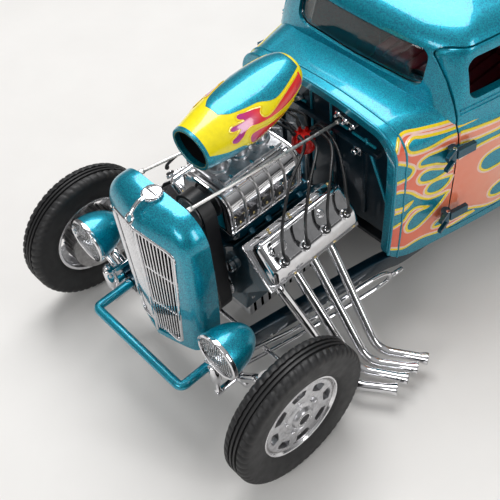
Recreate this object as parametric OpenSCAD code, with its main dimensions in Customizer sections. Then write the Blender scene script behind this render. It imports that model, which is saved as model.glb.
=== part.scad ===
// Fenderless hot rod coupe, a 1:18 model in millimetres.
// +Z is up, the nose faces -Y and the car's left side is +X.
// Stations along the car (names ending in _y) are measured back from the front axle.

/* [Overall] */
// Distance between the front and rear axles
wheelbase = 158; // [130:0.5:185]
// Front track, centre to centre of the tyres
front_track = 81.6; // [74:0.2:96]
// Rear track, centre to centre of the tyres
rear_track = 84; // [80:0.2:100]
// Foremost point of the bumper bar ahead of the front axle
nose_overhang = 16.05; // [14:0.05:22]
// Tail of the body behind the rear axle
tail_overhang = 38; // [34:0.5:46]

/* [Wheels] */
// Radius of the front tyre
front_tyre_r = 19.6; // [18:0.1:21]
// Width of the front tyre
front_tyre_w = 7.4; // [6:0.1:9]
// Radius of the rear tyre
rear_tyre_r = 22.6; // [20:0.1:24]
// Width of the rear tyre
rear_tyre_w = 15; // [11:0.1:17]
// Radius of the rims where the tyres seat
rim_r = 11.7; // [10:0.1:13]
// Radius of the front spindles
spindle_r = 1.5; // [1.2:0.05:2]
// Radius of the rear axle stubs
stub_r = 1.8; // [1.4:0.05:2.4]
// Radial clearance of a turning fit
turning_fit = 0.06; // [0.03:0.01:0.1]
// Thickness of the wheel discs
disc_t = 1.4; // [1:0.1:2.4]

/* [Body] */
// Station of the cowl's front edge
cowl_y = 49.2; // [46:0.1:52]
// Half width of the body at the cowl's front edge
cowl_half_w = 26.3; // [24:0.1:29]
// Greatest half width of the body
body_half_w = 38.8; // [36:0.1:41]
// Half width of the body at the tail
tail_half_w = 20; // [16:0.5:26]
// Height of the cowl's top at the centre line
cowl_top_z = 63; // [58:0.1:67]
// Height of the deck behind the cab
deck_z = 60; // [56:0.1:64]
// Height of the lower edge of the body
sill_z = 15; // [13:0.1:17]
// Height of the roof
roof_z = 80; // [77:0.1:88]
// Thickness of the body panels and doors
wall = 2.2; // [1.6:0.1:2.8]
// Gap round each door and the trunk lid
panel_gap = 0.4; // [0.3:0.05:0.8]

/* [Doors and windows] */
// Station of the doors' front edge
door_front_y = 67.2; // [65:0.1:70]
// Length of the doors
door_len = 46; // [40:0.5:48]
// Height of the doors' lower edge
door_sill_z = 18; // [17:0.1:22]
// Height of the doors' upper edge
door_top_z = 75; // [72:0.1:77]
// Height of the window openings' lower edge
window_sill_z = 61.5; // [60:0.1:65]
// Height of the window openings
window_h = 11; // [8:0.1:13]
// Width of the pillars and frames round the windows
pillar = 3.4; // [2.4:0.1:5]
// Half width of the windshield opening
windshield_half_w = 20.5; // [16:0.5:22]
// Half width of the rear window
rear_window_half_w = 12; // [8:0.5:15]
// Thickness of the window panes
glass_t = 0.8; // [0.5:0.1:1.2]
// Radius of the door hinge barrels
hinge_r = 1.2; // [0.9:0.05:1.6]
// Radius of the hinge pins
hinge_pin_r = 0.5; // [0.35:0.05:0.7]
// Heights of the two hinges on each door
hinge_z = [27.3, 49.6];

/* [Trunk] */
// Half width of the trunk lid
trunk_half_w = 19; // [14:0.5:22]
// Distance from the rear axle back to the lid's hinge edge, negative is ahead of it
trunk_front = -5; // [-8:0.5:2]
// Height of the lid's lower edge
trunk_low_z = 33; // [30:0.5:42]

/* [Frame and front end] */
// Width of the frame rails
rail_w = 3; // [2.2:0.1:4]
// Height of the frame rails
rail_h = 5.2; // [4:0.1:6.5]
// Distance from the centre line to a kingpin
kingpin_x = 31.5; // [29:0.1:33]
// Radius of the kingpins
kingpin_r = 0.9; // [0.7:0.05:1.2]
// Drop from the spindles to the middle of the front axle beam
axle_drop = 8; // [6:0.1:9]
// Distance of the tie rod behind the front axle
tie_rod_back = 10; // [8:0.1:12]
// Height of the tie rod
tie_rod_z = 12.4; // [11.5:0.1:13]
// Radius of the bumper bar's tube
bumper_r = 1.25; // [1:0.05:1.6]
// Half width of the bumper bar between its tubes' centres
bumper_half_w = 17.1; // [15:0.1:19]
// Height of the bumper bar's front tube
bumper_z = 19.8; // [18:0.1:22]
// Radius of the screw holes for a display base
base_screw_r = 1.25; // [1:0.05:1.6]
// Depth of the screw holes for a display base
base_screw_depth = 5; // [4:0.1:6]

/* [Grille] */
// Half width of the grille shell at its widest
shell_half_w = 15.1; // [13:0.1:17]
// Height of the grille shell's top
shell_top_z = 63.6; // [60:0.1:66]
// Height of the grille shell's lower edge
shell_low_z = 18.8; // [18:0.1:21]
// Thickness of the grille shell's sheet
shell_wall = 1.3; // [1:0.1:2]
// Radius of a headlight
headlight_r = 6.45; // [5:0.05:7.5]
// Distance of a headlight's centre from the centre line
headlight_x = 25.1; // [23:0.1:28]
// Height of the headlights
headlight_z = 34.25; // [30:0.1:38]

/* [Engine] */
// Station of the cylinder heads' front face
head_y = 13; // [12.5:0.1:14]
// Length of the cylinder heads and valve covers
head_len = 30; // [28:0.1:30]
// Spacing of the cylinders
bore_pitch = 6.79; // [6:0.01:7]
// Length of the blower case
blower_len = 23.5; // [20:0.1:24]
// Height of the blower's mounting face
blower_z = 44.6; // [44:0.1:46]
// Height of the blower case
blower_h = 11.5; // [10:0.1:12]
// Radius of the header pipes
pipe_r = 1.25; // [1:0.05:1.5]
// Radius of the plug wires
wire_r = 0.4; // [0.3:0.05:0.5]
// Length of the scoop
scoop_len = 31; // [24:0.5:34]

/* [Hidden] */
$fn = 48;

teal = [0, 0.62, 0.68];
dark_teal = [0, 0.3, 0.42];
chrome = [0.8, 0.81, 0.83];
black = [0.08, 0.08, 0.09];
red = [0.75, 0.08, 0.06];
clear = [0.8, 0.9, 0.92, 0.4];

// Distance that keeps two seated pieces from sharing volume
seat_gap = 0.05;
over = 1; // how far a cut runs past the face it opens

front_axle_y = -(wheelbase + tail_overhang - max(nose_overhang, front_tyre_r)) / 2;
rear_axle_y = wheelbase;
tail_y = wheelbase + tail_overhang;
widest_y = cowl_y + 0.52 * (tail_y - cowl_y);
deck_y = rear_axle_y - 16;
door_rear_y = door_front_y + door_len;
arch_gap = 2.4;
arch_r = rear_tyre_r + arch_gap;
trunk_front_y = rear_axle_y + trunk_front;

// ---------- general shapes ----------

function unit(v) = v / norm(v);
function clamp01(a) = max(0, min(1, a));
function mix(a, b, u) = a + (b - a) * u;
function super(u, p) = pow(max(0, 1 - pow(clamp01(u), p)), 1 / p);

// A closed skin over rings of equally many points, the first and last ring closed off
module loft(rings) {
    n = len(rings[0]);
    m = len(rings);
    polyhedron(
        points = [for (ring = rings) each ring],
        faces = concat(
            [[for (k = [0:n - 1]) k]],
            [[for (k = [n - 1:-1:0]) (m - 1) * n + k]],
            [for (j = [0:m - 2], k = [0:n - 1]) [j * n + k, (j + 1) * n + k, j * n + (k + 1) % n]],
            [for (j = [0:m - 2], k = [0:n - 1])
                [j * n + (k + 1) % n, (j + 1) * n + k, (j + 1) * n + (k + 1) % n]]),
        convexity = 8);
}

// A smooth curve through chosen points, with m steps between neighbours
function smooth_path(p, m = 4) = concat(
    [for (i = [0:len(p) - 2], s = [0:m - 1])
        let (a = p[max(0, i - 1)], b = p[i], c = p[i + 1], d = p[min(len(p) - 1, i + 2)], t = s / m)
        0.5 * (2 * b + (c - a) * t + (2 * a - 5 * b + 4 * c - d) * t * t
            + (3 * b - a - 3 * c + d) * t * t * t)],
    [p[len(p) - 1]]);

function tangent(p, i) = unit(p[min(i + 1, len(p) - 1)] - p[max(i - 1, 0)]);

// Straight runs whose corners are rounded; r holds the first corner's reach and the others'
function rounded_path(p, r, m = 4) = concat(
    [p[0]],
    [for (i = [1:len(p) - 2], s = [0:m])
        let (reach = r[min(i, 2) - 1], u = s / m,
            a = p[i] + reach * unit(p[i - 1] - p[i]),
            b = p[i] + reach * unit(p[i + 1] - p[i]))
        (1 - u) * (1 - u) * a + 2 * u * (1 - u) * p[i] + u * u * b],
    [p[len(p) - 1]]);

// A round tube along a path; ref is any direction that the path never takes, and the
// last ring is flared
module tube(p, r, sides = 10, ref = [0, 0, 1], flare = 1) {
    last = len(p) - 1;
    loft([for (i = [0:last])
        let (t = tangent(p, i), a = unit(cross(ref, t)), b = cross(t, a), ri = i == last ? flare * r : r)
        [for (k = [0:sides - 1]) p[i] + ri * (cos(360 * k / sides) * a + sin(360 * k / sides) * b)]]);
}

// A straight rod between two points
module rod(a, b, r) {
    d = b - a;
    translate(a)
        rotate([0, acos(d.z / norm(d)), atan2(d.y, d.x)])
            cylinder(h = norm(d), r = r);
}

module along_x(x, r, h, y = 0, z = 0) {
    translate([x, y, z]) rotate([0, 90, 0]) cylinder(r = r, h = h);
}

module along_y(y, r, h, x = 0, z = 0) {
    translate([x, y + h, z]) rotate([90, 0, 0]) cylinder(r = r, h = h);
}

// A box given by its lowest and highest corners
module block(low, high) translate(low) cube(high - low);

// An outline in X and Z, given thickness from y0 to y1
module slab_y(y0, y1) translate([0, y1, 0]) rotate([90, 0, 0]) linear_extrude(y1 - y0) children();

// An outline in Y and Z, given thickness from x0 to x1
module slab_x(x0, x1)
    translate([x0, 0, 0]) rotate([90, 0, 90]) linear_extrude(x1 - x0) children();

module rounded_rect(low, high, r) {
    translate(low + [r, 0]) square([high.x - low.x - 2 * r, high.y - low.y]);
    translate(low + [0, r]) square([high.x - low.x, high.y - low.y - 2 * r]);
    for (x = [low.x + r, high.x - r], y = [low.y + r, high.y - r])
        translate([x, y]) circle(r);
}

module both_sides() {
    children();
    mirror([1, 0, 0]) children();
}

// Whatever is inside becomes one mesh
module meshed() resize([0, 0, 0]) children();

// Moves a piece from the front axle's frame to the car's own frame
module car() translate([0, front_axle_y, 0]) children();

// ---------- body surface ----------

// Half width of the body at a station; t is how far the surface is sunk
function body_w(y, t = 0) =
    y < widest_y
        ? mix(cowl_half_w, body_half_w, sin(90 * clamp01((y - cowl_y) / (widest_y - cowl_y)))) - t
        : mix(body_half_w, tail_half_w, pow(clamp01((y - widest_y) / (tail_y - t - widest_y)), 4)) - t;

tail_top_z = 29;
tail_low_z = 20;
cowl_low_z = 21.5;

// Height of the body's top, below the roof, at a station
function body_top(y, t = 0) =
    y < deck_y
        ? mix(cowl_top_z, deck_z, clamp01((y - cowl_y) / (deck_y - cowl_y))) - t
        : mix(tail_top_z, deck_z - t, super((y - deck_y) / (tail_y - t - deck_y), 2.1));

// Height of the body's lower edge at a station
function body_low(y) =
    y < cowl_y + 9 ? mix(cowl_low_z, sill_z, sqrt(1 - pow(1 - (y - cowl_y) / 9, 2)))
    : y < rear_axle_y + 6 ? sill_z
    : mix(sill_z, tail_low_z, pow((y - rear_axle_y - 6) / (tail_overhang - 6), 2));

body_crown = 1.6;
body_tuck = 1.4;

function body_ring(y, t = 0) = let (
        w = body_w(y, t),
        top = body_top(y, t),
        low = t > 0 ? body_low(y) - 3 : body_low(y),
        r = min(mix(8, 14, clamp01((y - cowl_y) / 90)) - t, 0.7 * (top - low)),
        zc = top - body_crown - r,
        half = concat(
            [for (i = [0:5]) [w - body_tuck * pow(1 - i / 5, 2), mix(low, zc, i / 5)]],
            [for (i = [1:5]) [w - r + r * cos(18 * i), zc + r * sin(18 * i)]],
            [for (i = [1:3]) [(w - r) * (1 - i / 4), top - body_crown * pow(1 - i / 4, 2)]]))
    concat(
        [for (p = half) [-p.x, y, p.y]],
        [[0, y, top]],
        [for (i = [len(half) - 1:-1:0]) [half[i].x, y, half[i].y]]);

// The body below the belt as a solid; t sinks its surface and opens its front and floor
module tub(t = 0) {
    y0 = t > 0 ? cowl_y - over : cowl_y;
    ys = concat(
        t > 0 ? [y0] : [],
        [for (i = [0:4]) cowl_y + 10 * pow(i / 4, 1.6)],
        [for (i = [1:9]) mix(cowl_y + 10, deck_y, i / 9)],
        [for (i = [1:10]) mix(deck_y, tail_y - t, sin(9 * i))]);
    loft([for (y = ys) body_ring(max(y, cowl_y), t) + [for (k = [0:28]) [0, min(0, y - cowl_y), 0]]]);
}

// ---------- cab ----------

cab_front_y = 61.5;
cab_rear_y = 149;
cab_low_z = 54;
belt_z = 58;
windshield_rake = 0.24;
backlight_rake = 0.55;
cab_lean = 0.17;
roof_round = 6.5;

// Outline of the cab at a height, shrunk by d at the sides, df in front and dr behind
function cab_ring(z, d, df, dr) = let (
        h = z - belt_z,
        yf = cab_front_y + windshield_rake * max(0, h) + df,
        yr = cab_rear_y - backlight_rake * max(0, h) - dr,
        side = [for (k = [1:15]) let (
                y = mix(yf, yr, (1 - cos(180 * k / 16)) / 2),
                front_end = super(1 - (y - yf) / 7, 2.6),
                rear_end = super(1 - (yr - y) / 17, 2.3))
            [(body_w(y) - 0.8 - cab_lean * max(0, h) - d) * front_end * rear_end, y]])
    concat(
        [[0, yf, z]],
        [for (p = side) [p.x, p.y, z]],
        [[0, yr, z]],
        [for (k = [14:-1:0]) [-side[k].x, side[k].y, z]]);

module cab(t = 0) {
    top = roof_z - t;
    rr = roof_round;
    low = t > 0 ? cab_low_z - 6 : cab_low_z;
    loft(concat(
        [for (z = [low, belt_z, mix(belt_z, top - rr, 0.5)]) cab_ring(z, t, t, t)],
        [for (a = [0:18:72]) let (s = 1 - cos(a))
            cab_ring(top - rr + (rr - 1) * sin(a), t + rr * s, t + 7 * s, t + 15 * s)],
        [for (s = [1, 1.8, 2.6]) cab_ring(top - pow(2.6 - s, 2) / 2.56, t + rr * s, t + 7 * s, t + 15 * s)]));
}

module skin() {
    difference() {
        union() {
            tub();
            cab();
        }
        union() {
            tub(wall);
            cab(wall);
        }
    }
}

// The room inside the skin, t away from it
module room(t) {
    union() {
        tub(wall + t);
        cab(wall + t);
    }
}

module door_outline(grow = 0) {
    translate([door_front_y - grow, door_sill_z - grow])
        rounded_rect([0, 0], [door_len + 2 * grow, door_top_z - door_sill_z + 2 * grow], 3);
}

window_corner_r = 2.53;

module door_window(grow = 0) {
    rounded_rect(
        [door_front_y + pillar - grow, window_sill_z - grow],
        [door_rear_y - pillar + grow, window_sill_z + window_h + grow], window_corner_r);
}

quarter_window_len = 10;

module quarter_window(grow = 0) {
    low = [door_rear_y + pillar, window_sill_z];
    rounded_rect(low - [grow, grow], low + [quarter_window_len + grow, window_h - 1 + grow], window_corner_r);
}

module windshield_outline(grow = 0) {
    rounded_rect([-windshield_half_w - grow, window_sill_z + 2.5 - grow],
        [windshield_half_w + grow, window_sill_z + window_h + 1 + grow], window_corner_r);
}

module rear_window_outline(grow = 0) {
    rounded_rect([-rear_window_half_w - grow, window_sill_z + 1 - grow],
        [rear_window_half_w + grow, window_sill_z + window_h - 2 + grow], window_corner_r);
}

module trunk_cut(grow = 0) {
    block([-trunk_half_w - grow, trunk_front_y - grow, trunk_low_z - grow],
        [trunk_half_w + grow, tail_y + over, deck_z + 8]);
}

taillight_r = 2.2;
taillight_x = trunk_half_w + taillight_r + 2.2;
taillight_z = 30.5;

// The doors start at this half width, outside the windshield
door_inner_x = windshield_half_w + 1;

module body_shell() color(teal) car() meshed() difference() {
    skin();
    both_sides() {
        slab_x(door_inner_x - panel_gap, body_half_w + over) door_outline(panel_gap);
        slab_x(door_inner_x, body_half_w + over) quarter_window();
    }
    slab_y(cab_front_y - over, cab_front_y + 12) windshield_outline();
    slab_y(cab_rear_y - 24, cab_rear_y + 4) rear_window_outline();
    trunk_cut(panel_gap);
    for (s = [-1, 1])
        along_x(s > 0 ? 15 : -body_half_w - over, arch_r, body_half_w + over - 15,
            rear_axle_y, rear_tyre_r, $fn = 60);
    for (s = [-1, 1])
        along_y(rear_axle_y, taillight_r + seat_gap, tail_overhang, s * taillight_x, taillight_z);
}

module door() meshed() intersection() {
    skin();
    slab_x(door_inner_x, body_half_w + over) difference() {
        door_outline();
        door_window();
        translate([rear_axle_y, rear_tyre_r]) circle(arch_r + panel_gap, $fn = 60);
    }
}

module door_left() color(teal) car() door();
module door_right() color(teal) car() mirror([1, 0, 0]) door();

module trunk_lid() color(teal) car() meshed() intersection() {
    skin();
    trunk_cut();
}

// ---------- hinges ----------

hinge_y = door_front_y - 2.9;
hinge_x = body_w(hinge_y) + hinge_r;
hinge_h = 2.6;
knuckle_h = 1;

module door_hinge_leaf() {
    for (z = hinge_z) difference() {
        union() {
            translate([hinge_x, hinge_y, z - hinge_h / 2]) cylinder(r = hinge_r, h = hinge_h);
            translate([hinge_x, hinge_y, z - hinge_h / 2])
                rotate([0, 0, -12]) block([0, 0.8 * hinge_r, 0], [hinge_r, 6.4, hinge_h]);
        }
        translate([hinge_x, hinge_y, z - hinge_h])
            cylinder(r = hinge_pin_r + turning_fit, h = 2 * hinge_h);
    }
    // the pull handle near the rear edge
    hx = body_w(door_rear_y - 6) + 0.7;
    translate([hx, door_rear_y - 10, belt_z - 7]) {
        along_y(0, 0.6, 6.4);
        along_x(-0.75, 0.5, 0.8, 1);
    }
}

module door_left_hinges() color(chrome) car() door_hinge_leaf();
module door_right_hinges() color(chrome) car() mirror([1, 0, 0]) door_hinge_leaf();

module hinge_pins() color(chrome) car() {
    both_sides() {
        for (z = hinge_z) {
            translate([hinge_x, hinge_y, z - hinge_h / 2 - knuckle_h])
                cylinder(r = hinge_pin_r, h = hinge_h + 2 * knuckle_h);
            for (zk = [z - hinge_h / 2 - knuckle_h - seat_gap, z + hinge_h / 2 + seat_gap]) {
                translate([hinge_x, hinge_y, zk]) cylinder(r = hinge_r, h = knuckle_h);
                translate([hinge_x, hinge_y, zk]) rotate([0, 0, 12])
                    block([0.05, -4, 0], [hinge_r - 0.1, 0, knuckle_h]);
            }
        }
    }
}

// ---------- panels inside the body ----------

firewall_y = cowl_y + 2.6;
firewall_t = 1.2;

module firewall() color(dark_teal) car() {
    inner = body_ring(firewall_y, wall + 0.2);
    slab_y(firewall_y, firewall_y + firewall_t) intersection() {
        polygon([for (p = inner) [p.x, p.z]]);
        translate([-40, cowl_low_z + 2]) square([80, 60]);
    }
    for (x = [-15, -5, 5, 15])
        block([x - 0.5, firewall_y - 0.8, cowl_low_z + 6], [x + 0.5, firewall_y, cowl_top_z - 14]);
    block([-20, firewall_y - 1.6, cowl_top_z - 12.5], [20, firewall_y, cowl_top_z - 11]);
}

floor_z = sill_z + 1.6;
floor_t = 1.2;
trunk_floor_z = 35;
riser_y = rear_axle_y - arch_r - 3;
tunnel_half_w = 8;
tunnel_z = 25;

module floor_pan() color(black) car() meshed() difference() {
    intersection() {
        room(0.1);
        union() {
            block([-40, firewall_y + firewall_t + 0.1, floor_z], [40, riser_y, floor_z + floor_t]);
            block([-tunnel_half_w, firewall_y + firewall_t + 0.1, floor_z],
                [tunnel_half_w, riser_y, tunnel_z]);
            block([-40, riser_y, floor_z], [40, riser_y + floor_t, trunk_floor_z + floor_t]);
            block([-40, riser_y, trunk_floor_z], [40, tail_y, trunk_floor_z + floor_t]);
            // wheelhouses
            both_sides()
                along_x(rear_inner_x - arch_gap, arch_r + 1, 12, rear_axle_y, rear_tyre_r, $fn = 60);
        }
    }
    block([-tunnel_half_w + floor_t, cowl_y, floor_z - over],
        [tunnel_half_w - floor_t, riser_y + 2 * floor_t, tunnel_z - floor_t]);
    both_sides() {
        along_x(rear_inner_x - arch_gap + 1, arch_r, 20, rear_axle_y, rear_tyre_r, $fn = 60);
        along_x(rear_inner_x - arch_gap - over, stub_r + 0.5, 4, rear_axle_y, rear_tyre_r);
    }
}

rear_inner_x = rear_track / 2 - rear_tyre_w / 2;

module seat() color([0.5, 0.08, 0.1]) car() {
    sy = riser_y - 30;
    half = 26;
    block([-half, sy, tunnel_z + 0.1], [half, riser_y - 9.5, tunnel_z + 6]);
    for (s = [-1, 1])
        block([s > 0 ? tunnel_half_w + 0.1 : -half, sy + 1, floor_z + floor_t],
            [s > 0 ? half : -tunnel_half_w - 0.1, riser_y - 10, tunnel_z + 0.1]);
    translate([0, riser_y - 9.4, tunnel_z + 1]) rotate([-8, 0, 0])
        block([-half, 0, 0], [half, 6, 27]);
}

dash_y = cowl_y + 16.5;

module dashboard() color(dark_teal) car() {
    slab_y(dash_y - 2.4, dash_y) intersection() {
        polygon([for (p = body_ring(dash_y - 2.4, wall + 0.1)) [p.x, p.z]]);
        translate([-40, body_top(dash_y) - 14]) square([80, 20]);
    }
}

column_x = 12;
steering_wheel_r = 8;

module steering_column() color(black) car() {
    low = [column_x, firewall_y + firewall_t + 0.6, 33];
    high = [column_x, dash_y + 16, 47];
    rod(low, high, 0.9);
    tilt = atan2(high.z - low.z, high.y - low.y);
    translate(high) rotate([tilt - 90, 0, 0]) {
        rotate_extrude() translate([steering_wheel_r, 0]) circle(0.75, $fn = 16);
        for (a = [0, 120, 240]) rotate([0, 0, a])
            block([0, -0.5, -0.4], [steering_wheel_r, 0.5, 0.4]);
        cylinder(r = 1.6, h = 1.4, center = true);
    }
}

module window_glass() color(clear) car() meshed() intersection() {
    difference() {
        cab(0.6);
        cab(0.6 + glass_t);
    }
    union() {
        slab_y(cab_front_y - over, cab_front_y + 12) windshield_outline(-seat_gap);
        slab_y(cab_rear_y - 24, cab_rear_y + 4) rear_window_outline(-seat_gap);
        slab_x(-body_half_w, body_half_w) quarter_window(-seat_gap);
    }
}

module taillights() color(red) car() both_sides()
    along_y(tail_y - 11.5, taillight_r, 8.2, taillight_x, taillight_z);

// ---------- grille shell and lights ----------

function shell_w(z, t = 0) = let (
        r = 8,
        top = shell_top_z - t,
        side = mix(shell_half_w - 2.6, shell_half_w, sin(90 * clamp01((z - shell_low_z) / 30))) - t)
    z < top - r ? side : side - r * (1 - sqrt(max(0, 1 - pow((z - top + r) / r, 2))));

// Station of the prow's ridge at a height
function ridge_y(z, t = 0) = let (top = shell_top_z - t)
    -8.2 + 0.025 * (z - shell_low_z) + t
        + (z < top - 8 ? 0 : 6.4 * (1 - sqrt(max(0, 1 - pow((z - top + 8) / 8, 2)))));

shell_rear_y = 2;

function shell_ring(z, t = 0) = let (
        w = shell_w(z, t),
        yr = ridge_y(z, t),
        back = t > 0 ? shell_rear_y + over : shell_rear_y,
        deep = back - yr,
        half = [[0.4 * w, yr + min(1.25, 0.12 * deep)], [0.78 * w, yr + min(2.7, 0.26 * deep)],
            [0.9 * w, yr + min(3.5, 0.36 * deep)], [0.97 * w, yr + min(4.9, 0.5 * deep)],
            [w, yr + min(6.6, 0.7 * deep)], [w, back]])
    concat(
        [[0, yr, z]],
        [for (p = half) [p.x, p.y, z]],
        [for (i = [5:-1:0]) [-half[i].x, half[i].y, z]]);

module shell_solid(t = 0) {
    low = t > 0 ? shell_low_z - over : shell_low_z;
    top = shell_top_z - t;
    loft(concat(
        [for (i = [0:6]) shell_ring(mix(low, top - 8, i / 6), t)],
        [for (a = [15:15:90]) shell_ring(top - 8 + 8 * sin(a), t)]));
}

grille_low_z = 20.2;
grille_top_z = 57.2;
grille_low_w = 8;
grille_top_w = 11.4;

module grille_outline(d = 0) {
    polygon([[-grille_low_w + d, grille_low_z + d], [grille_low_w - d, grille_low_z + d],
        [grille_top_w - d, grille_top_z - 3], [grille_top_w - 1.5 - d, grille_top_z - d],
        [0, grille_top_z + 1 - d], [-grille_top_w + 1.5 + d, grille_top_z - d],
        [-grille_top_w + d, grille_top_z - 3]]);
}

module grille_shell() color(teal) car() meshed() difference() {
    shell_solid();
    shell_solid(shell_wall);
    slab_y(-12, -1) grille_outline();
}

module grille() color(chrome) car() intersection() {
    slab_y(-12, -1) grille_outline(seat_gap);
    translate([0, 0, grille_low_z]) linear_extrude(grille_top_z - grille_low_z + 2)
        polygon([[0, -7.9], [grille_top_w, -4.7], [grille_top_w, -3.9], [0, -7.1],
            [-grille_top_w, -3.9], [-grille_top_w, -4.7]]);
}

module radiator() color(black) car() {
    block([-10.4, -3, shell_low_z + 0.2], [10.4, 1.2, 56]);
    along_y(1.2, 1.8, 1.2, 0, 52);
}

module radiator_cap() color(chrome) car() {
    translate([0, -0.6, shell_top_z + seat_gap]) {
        cylinder(r = 2.8, h = 1);
        cylinder(r = 1.2, h = 1.8);
    }
}

headlight_y = -8.6;
headlight_len = 11;
lens_t = 0.9;

module headlights() color(teal) car() both_sides() {
    translate([headlight_x, headlight_y, headlight_z]) rotate([-90, 0, 0]) rotate_extrude()
        difference() {
            polygon(concat([[0, 0], [headlight_r, 0]],
                [for (a = [0:10:90]) [(headlight_r - 0.4) * cos(a), 1.2 + (headlight_len - 1.2) * sin(a)]]));
            translate([-1, -1]) square([headlight_r + 0.2, 1 + lens_t]);
        }
    rod([headlight_x, headlight_y + 4, headlight_z - headlight_r + 0.6],
        [bracket_x + bracket_t + 0.65, rail_front_y - 0.9, bumper_z + 3.6], 0.8);
}

module headlight_lenses() color(clear) car() both_sides()
    along_y(headlight_y, headlight_r - 0.85, lens_t - seat_gap, headlight_x, headlight_z);

bumper_y = bumper_r - nose_overhang;

module bumper_bar() color(teal) car() {
    along_x(-bumper_half_w, bumper_r, 2 * bumper_half_w, bumper_y, bumper_z);
    both_sides() {
        translate([bumper_half_w, bumper_y, bumper_z]) sphere(bumper_r);
        rod([bumper_half_w, bumper_y, bumper_z], [bumper_half_w, rail_front_y - 0.1, bumper_z], bumper_r);
    }
}

// ---------- frame ----------

rail_front_y = -3.4;

// The left rail's centre line, station by station
rail_path = [
    [bumper_half_w, rail_front_y, bumper_z - 0.6],
    [bumper_half_w + 0.4, 4, bumper_z - 0.9],
    [bumper_half_w + 1.6, 14, bumper_z - 1.6],
    [20.6, 32, 16.4],
    [22.4, cowl_y, 14],
    [23, cowl_y + 10, sill_z - 4],
    [25, 84, sill_z - 3],
    [25, riser_y - 8, sill_z - 3],
    [23, riser_y + 6, sill_z],
    [22, rear_axle_y - 10, 30],
    [22, rear_axle_y + 8, 30.6],
    [20, rear_axle_y + 26, 27]];

module rail() {
    loft([for (p = smooth_path(rail_path, 3))
        [for (c = [[-1, -1], [-1, 1], [1, 1], [1, -1]])
            [p.x + c.x * rail_w / 2, p.y, p.z + c.y * rail_h / 2]]]);
}

module frame_rails() color(teal) car() both_sides() rail();

// Half distance between the rails where a path point stands
function between_rails(i) = rail_path[i].x - rail_w / 2 - 0.15;

base_boss_r = 3;
base_boss_z = 8;
boss_rear_y = riser_y - 8;

module crossmembers() color(teal) car() {
    // front crossmember, on which the spring and the grille shell sit
    block([-bumper_half_w + rail_w / 2 + 0.2, -1.8, 16.4],
        [bumper_half_w - rail_w / 2 - 0.2, 1.8, shell_low_z - 0.1]);
    for (i = [6, 7]) {
        y = rail_path[i].y;
        difference() {
            union() {
                block([-between_rails(i) + 0.3, y - 2, sill_z - 5], [between_rails(i) - 0.3, y + 2, sill_z - 1]);
                translate([0, y, base_boss_z]) cylinder(r = base_boss_r, h = sill_z - base_boss_z - 1);
            }
            translate([0, y, base_boss_z - over])
                cylinder(r = base_screw_r, h = base_screw_depth + over);
        }
    }
    y = rail_path[11].y;
    block([-between_rails(11), y - 3, 25], [between_rails(11), y - 0.2, 29]);
}

// ---------- front axle ----------

spindle_z = front_tyre_r;
boss_h = 5;
lug_t = 1.6;
beam_z = spindle_z - axle_drop;

module front_axle() color(chrome) car() {
    for (s = [-1, 1]) difference() {
        translate([s * kingpin_x, 0, spindle_z - boss_h / 2]) cylinder(r = 1.9, h = boss_h);
        translate([s * kingpin_x, 0, 0]) cylinder(r = kingpin_r + turning_fit, h = 40);
    }
    end = kingpin_x - 1.7;
    tube([[-end, 0, spindle_z - 0.4], [-end + 2, 0, spindle_z - 0.8], [-end + 7, 0, beam_z + 2],
        [-end + 10, 0, beam_z], [end - 10, 0, beam_z],
        [end - 7, 0, beam_z + 2], [end - 2, 0, spindle_z - 0.8], [end, 0, spindle_z - 0.4]],
        1.3, 12, [0, 1, 0]);
}

// Shock absorbers, and the bracket on each rail that carries one of them and a headlight
shock_x = 21;
shock_y = -7;
bracket_x = bumper_half_w + rail_w / 2 + 0.2;
bracket_t = 0.8;

module front_suspension() color(chrome) car() {
    // transverse leaf spring
    spring_half = 19;
    slab_y(-1.3, 1.3) polygon(concat(
        [for (i = [-8:8]) [i / 8 * spring_half, 16.3 - 2 * pow(i / 8, 2)]],
        [for (i = [8:-1:-8]) [i / 8 * spring_half, 14.5 - 1.1 * pow(i / 8, 2)]]));
    both_sides() {
        // shock absorber between its perch on the axle and its bracket on the rail
        rod([shock_x, shock_y, 13.5], [shock_x, shock_y, 27], 1.1);
        rod([shock_x, shock_y, 19], [shock_x, shock_y, 25], 1.4);
        block([shock_x - 0.8, shock_y - 1, 12.6], [shock_x + 0.8, -1.35, 13.8]);
        block([bracket_x, shock_y + 1, 18.6], [bracket_x + bracket_t, 0, 26.2]);
        block([bracket_x, shock_y - 1, 25], [shock_x + 0.8, shock_y + 1.4, 26.2]);
    }
}

hairpin_r = 0.65;

module radius_rods() color(chrome) car() both_sides() {
    tube(smooth_path([[17, 2.1, beam_z + 2.6], [22.4, 22, beam_z + 2.6], [25.8, 44, beam_z + 3.6],
        [27, 48.6, beam_z + 1.2], [25.8, 44, beam_z - 1.2], [22, 22, beam_z - 1.6],
        [17, 2.1, beam_z - 2.6]], 3), hairpin_r, 10, [1, 0, 0]);
    rod([27.1, 49, beam_z + 1.2], [27.6, 53, beam_z + 1.2], 0.7);
}

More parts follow.
